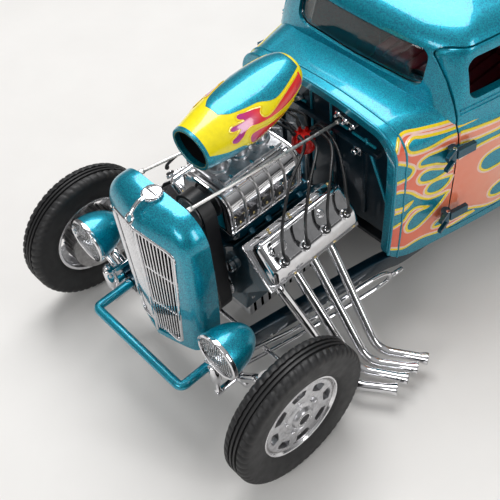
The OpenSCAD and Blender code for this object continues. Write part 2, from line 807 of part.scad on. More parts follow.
module steering_knuckle() {
    top = spindle_z + boss_h / 2 + seat_gap;
    low = spindle_z - boss_h / 2 - seat_gap;
    // the kingpin and the two lugs that hold it
    translate([kingpin_x, 0, low - lug_t]) cylinder(r = kingpin_r, h = top - low + 2 * lug_t);
    for (z = [low - lug_t, top]) {
        translate([kingpin_x, 0, z]) cylinder(r = 1.9, h = lug_t);
        block([kingpin_x, -1.9, z], [kingpin_x + 3.4, 1.9, z + lug_t]);
    }
    block([kingpin_x + 2.2, -1.9, low - lug_t], [kingpin_x + 3.6, 1.9, top + lug_t]);
    // backing plate and spindle
    along_x(kingpin_x + 3.4, backing_r, 0.8, 0, spindle_z);
    along_x(kingpin_x + 3.4, spindle_r, front_track / 2 + 1.2 - kingpin_x - 3.4, 0, spindle_z);
    // steering arm with the pin that carries the tie rod
    block([kingpin_x - 1, 0, low - lug_t], [kingpin_x + 1, tie_rod_back, low - lug_t + 1.2]);
    translate([kingpin_x, tie_rod_back, low - lug_t]) cylinder(r = 1.1, h = 1.2);
    translate([kingpin_x, tie_rod_back, tie_rod_z - 0.9]) cylinder(r = 0.5, h = 3.4);
}

backing_r = 8.6;
drum_r = 8.6;

module knuckle_left() color(chrome) car() steering_knuckle();
module knuckle_right() color(chrome) car() mirror([1, 0, 0]) steering_knuckle();

module tie_rod() color(chrome) car() difference() {
    union() {
        along_x(-kingpin_x + 1, 0.6, 2 * kingpin_x - 2, tie_rod_back, tie_rod_z);
        for (s = [-1, 1])
            translate([s * kingpin_x, tie_rod_back, tie_rod_z - 0.8]) cylinder(r = 1.2, h = 1.6);
    }
    for (s = [-1, 1])
        translate([s * kingpin_x, tie_rod_back, 0]) cylinder(r = 0.5 + turning_fit, h = 30);
}

// ---------- wheels, turned about +X with their centre at the origin ----------

module tyre(r, w, seat_r) {
    half = w / 2;
    shoulder = min(1.8, w / 4);
    rotate([0, 90, 0]) rotate_extrude($fn = 96) polygon(concat(
        [[seat_r + 0.03, -half * 0.72], [seat_r + 0.9, -half * 0.86], [(r + seat_r) / 2, -half]],
        [for (a = [0:15:90]) [r - shoulder + shoulder * sin(a), -half + shoulder * (1 - cos(a))]],
        [for (a = [90:-15:0]) [r - shoulder + shoulder * sin(a), half - shoulder * (1 - cos(a))]],
        [[(r + seat_r) / 2, half], [seat_r + 0.9, half * 0.86], [seat_r + 0.03, half * 0.72]]));
}

// Each window in a wheel disc is three round holes that run into one another
wheel_windows = 8;
wheel_window_r = 1.15;
wheel_window_arc = 8; // degrees between neighbouring holes of one window

// Rim barrel with a windowed disc; the disc is off the middle by disc_x, outwards
module wheel(w, bore_r, disc_x, hub_in) {
    half = 0.72 * w / 2;
    difference() {
        rotate([0, 90, 0]) rotate_extrude($fn = 96) {
            polygon([[rim_r - 1, -half], [rim_r, -half], [rim_r, half], [rim_r - 1, half]]);
            translate([0, disc_x]) square([rim_r - 0.5, disc_t]);
            translate([0, hub_in]) square([3, disc_x - hub_in + disc_t + 1.2]);
        }
        for (k = [0:wheel_windows - 1], a = [-1, 0, 1])
            rotate([360 * k / wheel_windows + a * wheel_window_arc, 0, 0])
                along_x(disc_x - over, wheel_window_r, disc_t + 2 * over, 0, rim_r - 3.3);
        along_x(hub_in - over, bore_r, disc_x + disc_t - hub_in + over);
    }
}

module front_wheel() {
    wheel(front_tyre_w, spindle_r + turning_fit, 0.8, -3.6);
    difference() {
        along_x(kingpin_x + 4.6 - front_track / 2, drum_r, front_track / 2 - kingpin_x - 4.2);
        along_x(-20, 2.9, 30);
    }
}

module front_left_tyre() color(black) car()
    translate([front_track / 2, 0, front_tyre_r]) tyre(front_tyre_r, front_tyre_w, rim_r);
module front_right_tyre() color(black) car()
    translate([-front_track / 2, 0, front_tyre_r]) tyre(front_tyre_r, front_tyre_w, rim_r);
module front_left_wheel() color(chrome) car()
    translate([front_track / 2, 0, front_tyre_r]) front_wheel();
module front_right_wheel() color(chrome) car()
    translate([-front_track / 2, 0, front_tyre_r]) mirror([1, 0, 0]) front_wheel();

rear_disc_x = 2.4;

module rear_wheel() wheel(rear_tyre_w, stub_r + turning_fit, rear_disc_x, -rear_tyre_w / 2 + 1);

module rear_left_tyre() color(black) car()
    translate([rear_track / 2, rear_axle_y, rear_tyre_r]) tyre(rear_tyre_r, rear_tyre_w, rim_r);
module rear_right_tyre() color(black) car()
    translate([-rear_track / 2, rear_axle_y, rear_tyre_r]) tyre(rear_tyre_r, rear_tyre_w, rim_r);
module rear_left_wheel() color(chrome) car()
    translate([rear_track / 2, rear_axle_y, rear_tyre_r]) rear_wheel();
module rear_right_wheel() color(chrome) car()
    translate([-rear_track / 2, rear_axle_y, rear_tyre_r]) mirror([1, 0, 0]) rear_wheel();

// ---------- rear axle ----------

diff_r = 6.2;
axle_tube_r = 2.4;

module rear_axle() color(black) car() {
    tube_end = rear_inner_x - arch_gap - 0.4;
    stub_end = rear_track / 2 + rear_disc_x;
    middle = asin(axle_tube_r / diff_r);
    translate([0, rear_axle_y, rear_tyre_r]) rotate([0, 90, 0]) rotate_extrude()
        polygon(concat(
            [[0, -stub_end], [stub_r, -stub_end], [stub_r, -tube_end], [axle_tube_r, -tube_end]],
            [for (i = [-6:6]) let (a = i / 6 * (90 - middle)) diff_r * [cos(a), sin(a)]],
            [[axle_tube_r, tube_end], [stub_r, tube_end], [stub_r, stub_end], [0, stub_end]]));
}

module rear_suspension() color(chrome) car() both_sides() {
    // trailing arm and coil-over
    rod([18, boss_rear_y + 2.2, 12], [18, rear_axle_y - 3.2, 20.4], 0.9);
    rod([16, rear_axle_y + 4, 20], [16, rear_axle_y + 9, trunk_floor_z - 0.9], 1.8);
}

// ---------- engine ----------

// Head flange in the front view: outer lower and inner upper corners, and its outward normal
flange_out = [20.3, 33.4];
flange_in = [11.05, 43.1];
flange_n = unit([flange_in.y - flange_out.y, flange_out.x - flange_in.x]);
flange_e = unit(flange_out - flange_in);
head_trim = 0.3;
head_h = 6;
cover_h = 6;
block_y = head_y + 1;
block_len = head_len - 2;

module head_section(d0, d1, trim = 0) {
    e = unit(flange_in - flange_out) * trim;
    polygon([flange_out + e + flange_n * d0, flange_out + e + flange_n * d1,
        flange_in - e + flange_n * d1, flange_in - e + flange_n * d0]);
}

module engine_block() color(dark_teal) car() {
    deck_out = flange_out - flange_n * (head_h + seat_gap);
    deck_in = flange_in - flange_n * (head_h + seat_gap);
    slab_y(block_y, block_y + block_len) polygon([
        deck_out, deck_in, [2.6, 35.4], [-2.6, 35.4], [-deck_in.x, deck_in.y],
        [-deck_out.x, deck_out.y], [-10, 23], [-8.5, 15], [8.5, 15], [10, 23]]);
    // oil pan
    block([-7, block_y + 2, 8], [7, block_y + block_len - 2, 15 - seat_gap]);
}

module cylinder_heads() color(dark_teal) car() both_sides()
    slab_y(head_y + 0.4, head_y + head_len - 0.4) head_section(-head_h, -seat_gap, head_trim);

module valve_covers() color(chrome) car() both_sides() {
    slab_y(head_y, head_y + head_len) head_section(0, 0.8);
    slab_y(head_y + 0.8, head_y + head_len - 0.8) head_section(0.8, cover_h, 1);
    for (i = [0:3]) {
        foot = [boot_x - 0.6 * 1.4, boot_z - 0.8 * 1.4];
        rod([foot.x, boot_y(i), foot.y], [boot_x, boot_y(i), boot_z], 0.9);
    }
}

boot_x = 21.6;
boot_z = 42.4;
function boot_y(i) = head_y + head_len / 2 + (i - 1.5) * bore_pitch;

module intake_manifold() color(chrome) car()
    slab_y(head_y + 2.5, head_y + head_len - 5) polygon([
        [-2.4, 35.5], [2.4, 35.5], [6, 39.2], [8.4, 42], [8.4, blower_z - seat_gap],
        [-8.4, blower_z - seat_gap], [-8.4, 42], [-6, 39.2]]);

blower_half_w = 8.4;

module blower() color(chrome) car() {
    slab_y(head_y, head_y + blower_len)
        rounded_rect([-blower_half_w, blower_z], [blower_half_w, blower_z + blower_h], 4.6);
    block([-blower_half_w - 0.4, head_y, blower_z], [blower_half_w + 0.4, head_y + blower_len, blower_z + 1.2]);
}

pulley_z = blower_z + blower_h / 2;
crank_z = 20;
belt_w = 4.4;

module blower_drive() color(chrome) car() {
    y = head_y - 0.1 - belt_w - 0.6;
    for (p = [[pulley_z, 4.4], [crank_z, 5]]) along_y(y, p[1], belt_w, 0, p[0]);
    along_y(y, 1.2, belt_w + 0.65, 0, pulley_z);
    along_y(y, 1.8, block_y - y - seat_gap, 0, crank_z);
    slab_y(y, y + belt_w) difference() {
        hull() {
            translate([0, pulley_z]) circle(5.2);
            translate([0, crank_z]) circle(5.8);
        }
        hull() {
            translate([0, pulley_z]) circle(4.4 + 0.02);
            translate([0, crank_z]) circle(5 + 0.02);
        }
    }
}

injector_z = blower_z + blower_h;

module injector() color(chrome) car() {
    block([-5.6, head_y + 2, injector_z + seat_gap], [5.6, head_y + blower_len - 2, injector_z + 2.4]);
    for (y = [head_y + 5, head_y + 11.5, head_y + 18]) translate([0, y, injector_z + 2])
        cylinder(r = 2.6, h = min(scoop_low_z(y - 2.6), scoop_low_z(y + 2.6)) - injector_z - 2.15);
}

scoop_y = 11.4;
mouth_z = 68.8;

// Half width, half height and centre height of the scoop at a station
function scoop_a(y) = let (u = (y - scoop_y) / scoop_len)
    u < 0.45 ? mix(6, 8.2, sin(200 * u)) : mix(3.4, 8.2, super((u - 0.45) / 0.55, 2));
function scoop_b(y) = let (u = (y - scoop_y) / scoop_len)
    u < 0.35 ? mix(5, 6.4, sin(257 * u)) : mix(2.6, 6.4, super((u - 0.35) / 0.65, 2));
function scoop_c(y) = mouth_z + 0.06 * (y - scoop_y) + 2.5 * pow((y - scoop_y) / scoop_len, 2);
function scoop_low_z(y) = scoop_c(y) - scoop_b(y);

module scoop_solid(t = 0) {
    loft([for (i = [0:12]) let (
            y = mix(scoop_y - (t > 0 ? 0.5 : 0), scoop_y + scoop_len - 3 * t, i / 12),
            ys = max(y, scoop_y))
        [for (k = [0:27]) let (a = 360 * k / 28)
            [-(scoop_a(ys) - t) * cos(a), y, scoop_c(ys) + (scoop_b(ys) - t) * sin(a)]]]);
}

module scoop() color([0.95, 0.88, 0.05]) car() meshed() difference() {
    scoop_solid();
    intersection() {
        scoop_solid(0.7);
        block([-20, 0, 50], [20, scoop_y + 0.75 * scoop_len, 90]);
    }
}

cap_y = head_y + head_len + 2.1;

module distributor() color(red) car() {
    translate([0, cap_y, 33]) cylinder(r = 1.9, h = cap_top_z - 36);
    translate([0, cap_y, cap_top_z - 3.6]) cylinder(r = 3.1, h = 3.6);
    for (k = [0:7]) translate(tower(k) - [0, 0, tower_h + 0.2])
        cylinder(r = 0.55, h = tower_h + 0.06);
}

cap_top_z = 49.2;
tower_h = 1.4;

// Top of one of the cap's eight towers
function tower(k) = [2.3 * cos(22.5 + 45 * k), cap_y + 2.3 * sin(22.5 + 45 * k), cap_top_z + tower_h];

// Routes of the four left plug wires: from the cap to the boots
wire_routes = [
    [tower(6), [2.2, 42, 52.6], [7.4, 38.4, 54.6], [13, 28, 53.4], [18, 20.6, 49.6], [21, 17.6, 45.6], [22.2, 17.8, 43.2]],
    [tower(7), [4, 43.4, 52.4], [9, 41, 53.6], [14.6, 33, 52], [19, 27, 48.6], [21.4, 24.6, 45.4], [22.2, 24.6, 43.2]],
    [tower(0), [4.2, 46.4, 52.4], [10, 45, 52.4], [15.6, 38.8, 50.6], [19.6, 33.6, 47.8], [21.6, 31.6, 45.2], [22.2, 31.4, 43.2]],
    [tower(1), [3, 48.4, 52.4], [10, 46.6, 51.4], [16.6, 42.4, 48.8], [20, 39.6, 46.8], [21.8, 38.4, 44.8], [22.2, 38.2, 43.2]]];

module plug_wires() color(black) car() both_sides()
    for (route = wire_routes) tube(smooth_path(route, 3), wire_r, 8, [0, 0.3, 1]);

// Middle of the heads' exhaust face in the front view
port = flange_out - flange_n * head_h / 2 + flange_e * (seat_gap - head_trim);

// Stations of the header pipes where they leave the head, and where they turn outwards
function pipe_y(i) = head_y + 4 + 5.95 * i;
pipe_low = [[30.2, 22.4, 6.2], [37.6, 24.6, 6], [38, 28.2, 6], [37.6, 32.6, 6]];
pipe_end = [[48.9, 27.2, 6], [48.8, 31.4, 6], [48.5, 35.5, 6], [48.5, 39.4, 6]];

// Centre lines of the four left header pipes, from the head to the outlet
function pipe_route(i) = let (
        start = [port.x, pipe_y(i), port.y],
        out = [flange_e.x, 0, flange_e.y])
    i == 0
        ? [start, start + 1.6 * out, [27, 20.7, 14.4], pipe_low[0], [40.4, 20.8, 6], pipe_end[0]]
        : [start, start + 1.6 * out, pipe_low[i], pipe_end[i]];

module header() {
    for (i = [0:3]) {
        path = rounded_path(pipe_route(i), [0.8, i == 0 ? 3 : 4]);
        tube(path, pipe_r, 10, [0, 1, 0.05], 1.35);
    }
}

module header_left() color(chrome) car() header();
module header_right() color(chrome) car() mirror([1, 0, 0]) header();

module cowl_stays() color(chrome) car() both_sides() {
    rod([8.5, shell_rear_y + 0.1, shell_top_z - 1], [6.6, firewall_y - 0.1, 54], 0.4);
}

module gearbox() color(chrome) car() {
    y = block_y + block_len;
    along_y(y + 0.05, 10, 4.6, 0, crank_z);
    translate([0, y + 4.7, crank_z - 3]) rotate([-90, 0, 0]) cylinder(r1 = 6.3, r2 = 5, h = 26);
    rod([0, y + 30.8, crank_z - 3], [0, rear_axle_y - diff_r - 0.15, rear_tyre_r], 1.5);
}

body_shell();
firewall();
floor_pan();
grille_shell();
grille();
radiator();
radiator_cap();
headlights();
headlight_lenses();
bumper_bar();
frame_rails();
crossmembers();
front_axle();
front_suspension();
radius_rods();
engine_block();
cylinder_heads();
valve_covers();
intake_manifold();
blower();
blower_drive();
injector();
scoop();
distributor();
plug_wires();
header_left();
header_right();
cowl_stays();
gearbox();
rear_axle();
rear_suspension();
seat();
dashboard();
steering_column();
window_glass();
taillights();
hinge_pins();
door_left();
door_right();
door_left_hinges();
door_right_hinges();
trunk_lid();
knuckle_left();
knuckle_right();
tie_rod();
front_left_tyre();
front_left_wheel();
front_right_tyre();
front_right_wheel();
rear_left_tyre();
rear_left_wheel();
rear_right_tyre();
rear_right_wheel();
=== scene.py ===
"""Looks of the 1:18 hot rod coupe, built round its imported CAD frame.

Lengths are millimetres in the car's own frame: x to the car's left, y back from the front
axle, z up. place() turns them into the shared frame's metres.
"""
import math

import bmesh
import bpy
import numpy as np
from mathutils import Matrix, Vector


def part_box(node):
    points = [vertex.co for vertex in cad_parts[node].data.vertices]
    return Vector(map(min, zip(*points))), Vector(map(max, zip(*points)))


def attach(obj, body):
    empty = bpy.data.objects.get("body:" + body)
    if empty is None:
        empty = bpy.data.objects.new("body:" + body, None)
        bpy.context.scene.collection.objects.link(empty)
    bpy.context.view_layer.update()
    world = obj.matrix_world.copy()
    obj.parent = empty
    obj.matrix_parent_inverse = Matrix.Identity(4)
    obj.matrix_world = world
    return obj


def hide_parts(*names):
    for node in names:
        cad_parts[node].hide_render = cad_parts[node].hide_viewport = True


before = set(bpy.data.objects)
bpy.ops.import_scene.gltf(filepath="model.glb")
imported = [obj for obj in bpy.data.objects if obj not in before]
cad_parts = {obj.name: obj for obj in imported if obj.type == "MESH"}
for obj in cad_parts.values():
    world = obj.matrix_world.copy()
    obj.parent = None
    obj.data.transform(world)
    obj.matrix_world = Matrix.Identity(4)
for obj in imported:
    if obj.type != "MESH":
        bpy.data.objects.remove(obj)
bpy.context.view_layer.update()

MM = 0.001
tip = 0.01  # radius at which a turned profile closes on its axis


def cad_size(node):
    low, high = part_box(node)
    return np.array(low) / MM, np.array(high) / MM


def cad_centre(node):
    low, high = cad_size(node)
    return (low + high) / 2


# Driving dimensions, read off the frame
front_axle_y = cad_centre("front_left_wheel")[1]
front_tyre_low, front_tyre_high = cad_size("front_left_tyre")
rear_tyre_low, rear_tyre_high = cad_size("rear_left_tyre")
front_tyre_r = (front_tyre_high - front_tyre_low)[2] / 2
rear_tyre_r = (rear_tyre_high - rear_tyre_low)[2] / 2
front_tyre_w = (front_tyre_high - front_tyre_low)[0]
rear_tyre_w = (rear_tyre_high - rear_tyre_low)[0]
front_wheel_x = (front_tyre_low + front_tyre_high)[0] / 2
rear_wheel_x = (rear_tyre_low + rear_tyre_high)[0] / 2
rear_axle_y = (rear_tyre_low + rear_tyre_high)[1] / 2 - front_axle_y
tail_y = cad_size("body_shell")[1][1] - front_axle_y
cowl_y = cad_size("body_shell")[0][1] - front_axle_y
roof_z = cad_size("body_shell")[1][2]
sill_z = cad_size("body_shell")[0][2]

# Sizes that the frame's boxes don't give, the same as in the part's source
cowl_half_w, body_half_w, tail_half_w = 26.3, 38.8, 20
cowl_top_z, deck_z, tail_top_z, tail_low_z, cowl_low_z = 63, 60, 29, 20, 21.5
wall, panel_gap = 2.2, 0.4
rim_r = 11.7
door_front_y, door_len, door_sill_z, door_top_z = 67.2, 46, 18, 75
door_rear_y = door_front_y + door_len
window_sill_z, window_h, pillar, window_corner_r = 61.5, 11, 3.4, 2.53
windshield_half_w, rear_window_half_w = 20.5, 12
door_inner_x = windshield_half_w + 1
trunk_half_w, trunk_low_z = 19, 33
trunk_front_y = rear_axle_y - 5
deck_y = rear_axle_y - 16
widest_y = cowl_y + 0.52 * (tail_y - cowl_y)
arch_r = rear_tyre_r + 2.4


# ---------- making meshes ----------

def place(points):
    """Car millimetres to the frame's metres."""
    return (np.asarray(points, float).reshape(-1, 3) + [0, front_axle_y, 0]) * MM


def face_outwards(mesh):
    bm = bmesh.new()
    bm.from_mesh(mesh)
    bmesh.ops.recalc_face_normals(bm, faces=bm.faces[:])
    bm.to_mesh(mesh)
    bm.free()


def new_object(name, verts, faces, material):
    mesh = bpy.data.meshes.new(name)
    mesh.from_pydata(place(verts).tolist(), [], [list(map(int, f)) for f in faces])
    face_outwards(mesh)
    mesh.materials.append(material)
    mesh.polygons.foreach_set("use_smooth", [True] * len(mesh.polygons))
    thing = bpy.data.objects.new(name, mesh)
    bpy.context.scene.collection.objects.link(thing)
    return thing


class Shape:
    """Vertices and faces gathered from several simple forms."""

    def __init__(self):
        self.verts, self.faces, self.count = [], [], 0

    def add(self, verts, faces):
        verts = np.asarray(verts, float).reshape(-1, 3)
        self.verts.append(verts)
        self.faces += [[i + self.count for i in f] for f in faces]
        self.count += len(verts)
        return self

    def both(self, verts, faces):
        """The form and its mirror image on the car's right."""
        self.add(verts, faces)
        return self.add(np.asarray(verts) * [-1, 1, 1], [f[::-1] for f in faces])

    def all_verts(self):
        return np.concatenate(self.verts)


def unit(v):
    return v / np.linalg.norm(v)


def evenly(n):
    """Angles at equal steps round a full turn."""
    return np.arange(n) * 2 * math.pi / n


def loft(rings, closed=True):
    """A skin over rings of equally many points; closed adds the two end faces."""
    rings = np.asarray(rings, float)
    m, n = rings.shape[:2]
    faces = [[j * n + k, (j + 1) * n + k, (j + 1) * n + (k + 1) % n, j * n + (k + 1) % n]
             for j in range(m - 1) for k in range(n)]
    if closed:
        faces += [list(range(n)), [(m - 1) * n + k for k in range(n - 1, -1, -1)]]
    return rings.reshape(-1, 3), faces


def closing_faces(m, n):
    """Faces from the last of m rings of n points back to the first."""
    return [[(m - 1) * n + k, k, (k + 1) % n, (m - 1) * n + (k + 1) % n] for k in range(n)]


def revolve(profile, centre, axis="x", steps=64, closed=False):
    """A profile of (radius, distance along the axis) turned about a line through centre."""
    c, s = np.cos(evenly(steps)), np.sin(evenly(steps))
    rings = []
    for r, d in profile:
        ring = np.zeros((steps, 3))
        if axis == "x":
            ring[:, 0], ring[:, 1], ring[:, 2] = d, r * c, r * s
        elif axis == "y":
            ring[:, 1], ring[:, 2], ring[:, 0] = d, r * c, r * s
        else:
            ring[:, 2], ring[:, 0], ring[:, 1] = d, r * c, r * s
        rings.append(ring + centre)
    verts, faces = loft(rings, False)
    if closed:
        faces += closing_faces(len(profile), steps)
    return verts, faces


def curve_through(points, per=8):
    """A smooth curve through the points (Catmull-Rom)."""
    p = np.asarray(points, float)
    p = np.vstack([2 * p[0] - p[1], p, 2 * p[-1] - p[-2]])
    out = []
    for i in range(1, len(p) - 2):
        a, b, c, d = p[i - 1:i + 3]
        for t in np.arange(per) / per:
            out.append(0.5 * (2 * b + (c - a) * t + (2 * a - 5 * b + 4 * c - d) * t * t
                              + (3 * b - a - 3 * c + d) * t ** 3))
    return np.array(out + [p[-2]])


def rounded_run(points, reach, per=8):
    """Straight runs whose inner corners are rounded; reach is one length or one for each corner."""
    p = np.asarray(points, float)
    reaches = np.broadcast_to(reach, len(p) - 2)
    out = [p[0]]
    for i in range(1, len(p) - 1):
        back, ahead = p[i - 1] - p[i], p[i + 1] - p[i]
        r = reaches[i - 1]
        a, b = p[i] + r * back / np.linalg.norm(back), p[i] + r * ahead / np.linalg.norm(ahead)
        for u in np.linspace(0, 1, per + 1):
            out.append((1 - u) ** 2 * a + 2 * u * (1 - u) * p[i] + u * u * b)
    return np.array(out + [p[-1]])


def path_frames(path):
    """Two directions across the path at each point, without twist."""
    t = np.gradient(path, axis=0)
    t /= np.linalg.norm(t, axis=1)[:, None]
    sides = [unit(np.cross(t[0], [0, 0, 1] if abs(t[0][2]) < 0.9 else [1, 0, 0]))]
    for d in t[1:]:
        sides.append(unit(sides[-1] - d * np.dot(d, sides[-1])))
    sides = np.array(sides)
    return t, sides, np.cross(t, sides)


def tube(path, radius, sides=16, closed=True):
    """A round tube; radius is one number or one for each point."""
    path = np.asarray(path, float)
    radius = np.broadcast_to(radius, len(path))
    _, a, b = path_frames(path)
    c, s = np.cos(evenly(sides)), np.sin(evenly(sides))
    rings = [p + r * (np.outer(c, u) + np.outer(s, v)) for p, r, u, v in zip(path, radius, a, b)]
    return loft(rings, closed)


def rod(a, b, r, sides=16, bevel=0.15):
    """A straight rod with softened ends."""
    a, b = np.asarray(a, float), np.asarray(b, float)
    d = unit(b - a)
    bevel = min(bevel, 0.4 * r)
    stations = [a, a + d * bevel, b - d * bevel, b]
    return tube(stations, [r - bevel, r, r, r - bevel], sides)


def outline_slab(outline, y0, y1, bevel=0.3):
    """An outline of (x, z) points given thickness along y, its edges softened."""
    o = np.asarray(outline, float)
    centre = o.mean(0)
    span = np.abs(o - centre).max(0)
    small = centre + (o - centre) * (1 - bevel / span)
    rings = [np.column_stack([q[:, 0], np.full(len(q), y), q[:, 1]])
             for q, y in [(small, y0), (o, y0 + bevel), (o, y1 - bevel), (small, y1)]]
    return loft(rings)


def box(low, high, bevel=0.25):
    """A block with bevelled edges."""
    low, high = np.asarray(low, float), np.asarray(high, float)
    bevel = min(bevel, 0.45 * (high - low).min())
    bm = bmesh.new()
    bmesh.ops.create_cube(bm, size=1)
    for v in bm.verts:
        v.co = Vector((low + high) / 2) + Vector(np.array(v.co) * (high - low))
    bmesh.ops.bevel(bm, geom=bm.edges[:], offset=bevel, segments=2, affect="EDGES", profile=0.6)
    verts = [tuple(v.co) for v in bm.verts]
    faces = [[v.index for v in f.verts] for f in bm.faces]
    bm.free()
    return verts, faces


def ball(centre, r, steps=20):
    profile = [(r * math.cos(a), r * math.sin(a)) for a in np.linspace(-1.5, 1.5, 11)]
    return revolve(profile, centre, "z", steps)


def hex_bolt(centre, normal, r=0.5, h=0.35):
    """A hexagon head standing on a surface."""
    n, c = unit(np.asarray(normal, float)), np.asarray(centre, float)
    return tube([c - n * 0.1, c + n * h * 0.7, c + n * h], [r, r, 0.75 * r], 6)


def ease_edges(thing, angle=32):
    """Smooth shading that keeps edges sharper than the angle."""
    thing.data.polygons.foreach_set("use_smooth", [True] * len(thing.data.polygons))
    thing.data.set_sharp_from_angle(angle=math.radians(angle))


def piece(name, shape, material, hides=(), angle=32, body="chassis"):
    """A finished piece of the car: it rides on a body and stands for some CAD nodes."""
    verts, faces = (shape.all_verts(), shape.faces) if isinstance(shape, Shape) else shape
    return dress(new_object(name, verts, faces, material), hides, angle, body)


def dress(thing, hides=(), angle=32, body="chassis"):
    ease_edges(thing, angle)
    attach(thing, body)
    if hides:
        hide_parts(*hides)
    return thing


def cut(thing, cutter, how):
    """A boolean of two closed meshes; the cutter is used up."""
    step = thing.modifiers.new("cut", "BOOLEAN")
    step.operation, step.solver, step.object = how, "MANIFOLD", cutter
    bpy.context.view_layer.update()
    result = bpy.data.meshes.new_from_object(thing.evaluated_get(bpy.context.evaluated_depsgraph_get()))
    thing.modifiers.clear()
    old = thing.data
    thing.data = result
    result.name = old.name
    bpy.data.meshes.remove(old)
    bpy.data.objects.remove(cutter)
    return thing


def subtract(thing, cutter):
    return cut(thing, cutter, "DIFFERENCE")


def keep_common(thing, cutter):
    return cut(thing, cutter, "INTERSECT")


def unite(thing, cutter):
    return cut(thing, cutter, "UNION")


# ---------- materials ----------

def nodes_of(name, values=()):
    """A new material, its node tree and its shader with the given values set."""
    material = bpy.data.materials.new(name)
    material.use_nodes = True
    tree = material.node_tree
    shader = tree.nodes["Principled BSDF"]
    for key, value in dict(values).items():
        shader.inputs[key].default_value = value
    return material, tree, shader


def add_node(tree, kind, **values):
    """A shader node; a value named after an input sets it, and any other sets a property."""
    node = tree.nodes.new("ShaderNode" + kind)
    for key, value in values.items():
        if key in node.inputs:
            node.inputs[key].default_value = value
        else:
            setattr(node, key, value)
    return node


def coordinates(tree, kind="Object"):
    return add_node(tree, "TexCoord").outputs[kind]


def noise(tree, scale, detail=3.0, rough=0.55):
    node = add_node(tree, "TexNoise", Scale=scale, Detail=detail, Roughness=rough)
    tree.links.new(coordinates(tree), node.inputs["Vector"])
    return node.outputs["Fac"]


def ramp(tree, source, stops):
    """A colour ramp of (position, colour) stops."""
    node = add_node(tree, "ValToRGB")
    bands = node.color_ramp.elements
    while len(bands) < len(stops):
        bands.new(0.5)
    for band, (at, colour) in zip(bands, stops):
        band.position, band.color = at, (*colour[:3], 1)
    tree.links.new(source, node.inputs["Fac"])
    return node.outputs["Color"]


def grey(v):
    return (v, v, v)


def vary(tree, shader, name, source, stops):
    """One input of the shader driven by a ramp over a pattern."""
    tree.links.new(ramp(tree, source, stops), shader.inputs[name])


def bump(tree, shader, height, strength, distance, before=None):
    node = add_node(tree, "Bump", Strength=strength, Distance=distance * MM)
    tree.links.new(height, node.inputs["Height"])
    if before:
        tree.links.new(before, node.inputs["Normal"])
    tree.links.new(node.outputs["Normal"], shader.inputs["Normal"])
    return node.outputs["Normal"]


def soft_edges(tree, shader, radius=0.22):
    """Rounds the shading over sharp edges, as paint and plating do."""
    node = add_node(tree, "Bevel", samples=4, Radius=radius * MM)
    tree.links.new(node.outputs["Normal"], shader.inputs["Normal"])
    return node.outputs["Normal"]


def metallic_paint(name, colour, deep, flake=0.35):
    """Clear-coated paint whose flakes vary a little in tone and tilt."""
    material, tree, shader = nodes_of(name, {"Metallic": 0.6, "Roughness": 0.34, "Coat Weight": 0.7,
                                             "Coat Roughness": 0.03})
    cells = add_node(tree, "TexVoronoi", Scale=7000.0)
    tree.links.new(coordinates(tree), cells.inputs["Vector"])
    tone = add_node(tree, "SeparateColor")
    tree.links.new(cells.outputs["Color"], tone.inputs["Color"])
    vary(tree, shader, "Base Color", tone.outputs["Red"],
         [(0.0, deep), (0.55, colour), (1.0, np.array(colour) * 1.25)])
    rounded = soft_edges(tree, shader)
    bump(tree, shader, tone.outputs["Green"], flake, 0.012, rounded)
    return material


def enamel(name, stops):
    """Clear-coated colour; with several stops it changes along y, each stop's place in millimetres."""
    material, tree, shader = nodes_of(name, {"Roughness": 0.22, "Coat Weight": 1.0, "Coat Roughness": 0.04})
    if len(stops) == 1:
        c = np.array(stops[0][1])
        vary(tree, shader, "Base Color", noise(tree, 900.0),
             [(0.3, c * 0.93), (0.7, np.minimum(c * 1.05, 1))])
        return material
    split = add_node(tree, "SeparateXYZ")
    tree.links.new(coordinates(tree), split.inputs["Vector"])
    low, high = stops[0][0], stops[-1][0]
    spread = add_node(tree, "MapRange")
    spread.inputs["From Min"].default_value = (low + front_axle_y) * MM
    spread.inputs["From Max"].default_value = (high + front_axle_y) * MM
    tree.links.new(split.outputs["Y"], spread.inputs["Value"])
    wobble = add_node(tree, "Math", operation="MULTIPLY_ADD")
    tree.links.new(noise(tree, 260.0), wobble.inputs[0])
    wobble.inputs[1].default_value = 0.2
    tree.links.new(spread.outputs["Result"], wobble.inputs[2])
    vary(tree, shader, "Base Color", wobble.outputs["Value"],
         [((at - low) / (high - low) * 0.98 + 0.02, c) for at, c in stops])
    return material


def plated(name, colour, rough=0.06, grain=0.05, scale=500.0):
    """Bright plating over moulded plastic: small swirls in gloss and a very fine ripple."""
    material, tree, shader = nodes_of(name, {"Metallic": 1.0})
    haze, c = noise(tree, scale), np.array(colour)
    vary(tree, shader, "Base Color", haze, [(0.3, c * 0.9), (0.7, np.minimum(c * 1.06, 1))])
    vary(tree, shader, "Roughness", haze, [(0.3, grey(rough * 0.6)), (0.75, grey(rough * 1.7))])
    bump(tree, shader, noise(tree, scale * 0.7), grain, 0.05, soft_edges(tree, shader, 0.15))
    return material


def moulded(name, colour, rough=0.5, grain=0.25, scale=2600.0, distance=0.04):
    """Moulded plastic or rubber with a fine grain and a little variation in tone."""
    material, tree, shader = nodes_of(name)
    c = np.array(colour)
    vary(tree, shader, "Base Color", noise(tree, 240.0), [(0.3, c * 0.8), (0.7, np.minimum(c * 1.2, 1))])
    vary(tree, shader, "Roughness", noise(tree, 400.0),
         [(0.3, grey(rough * 0.85)), (0.75, grey(rough * 1.15))])
    bump(tree, shader, noise(tree, scale), grain, distance, soft_edges(tree, shader, 0.12))
    return material


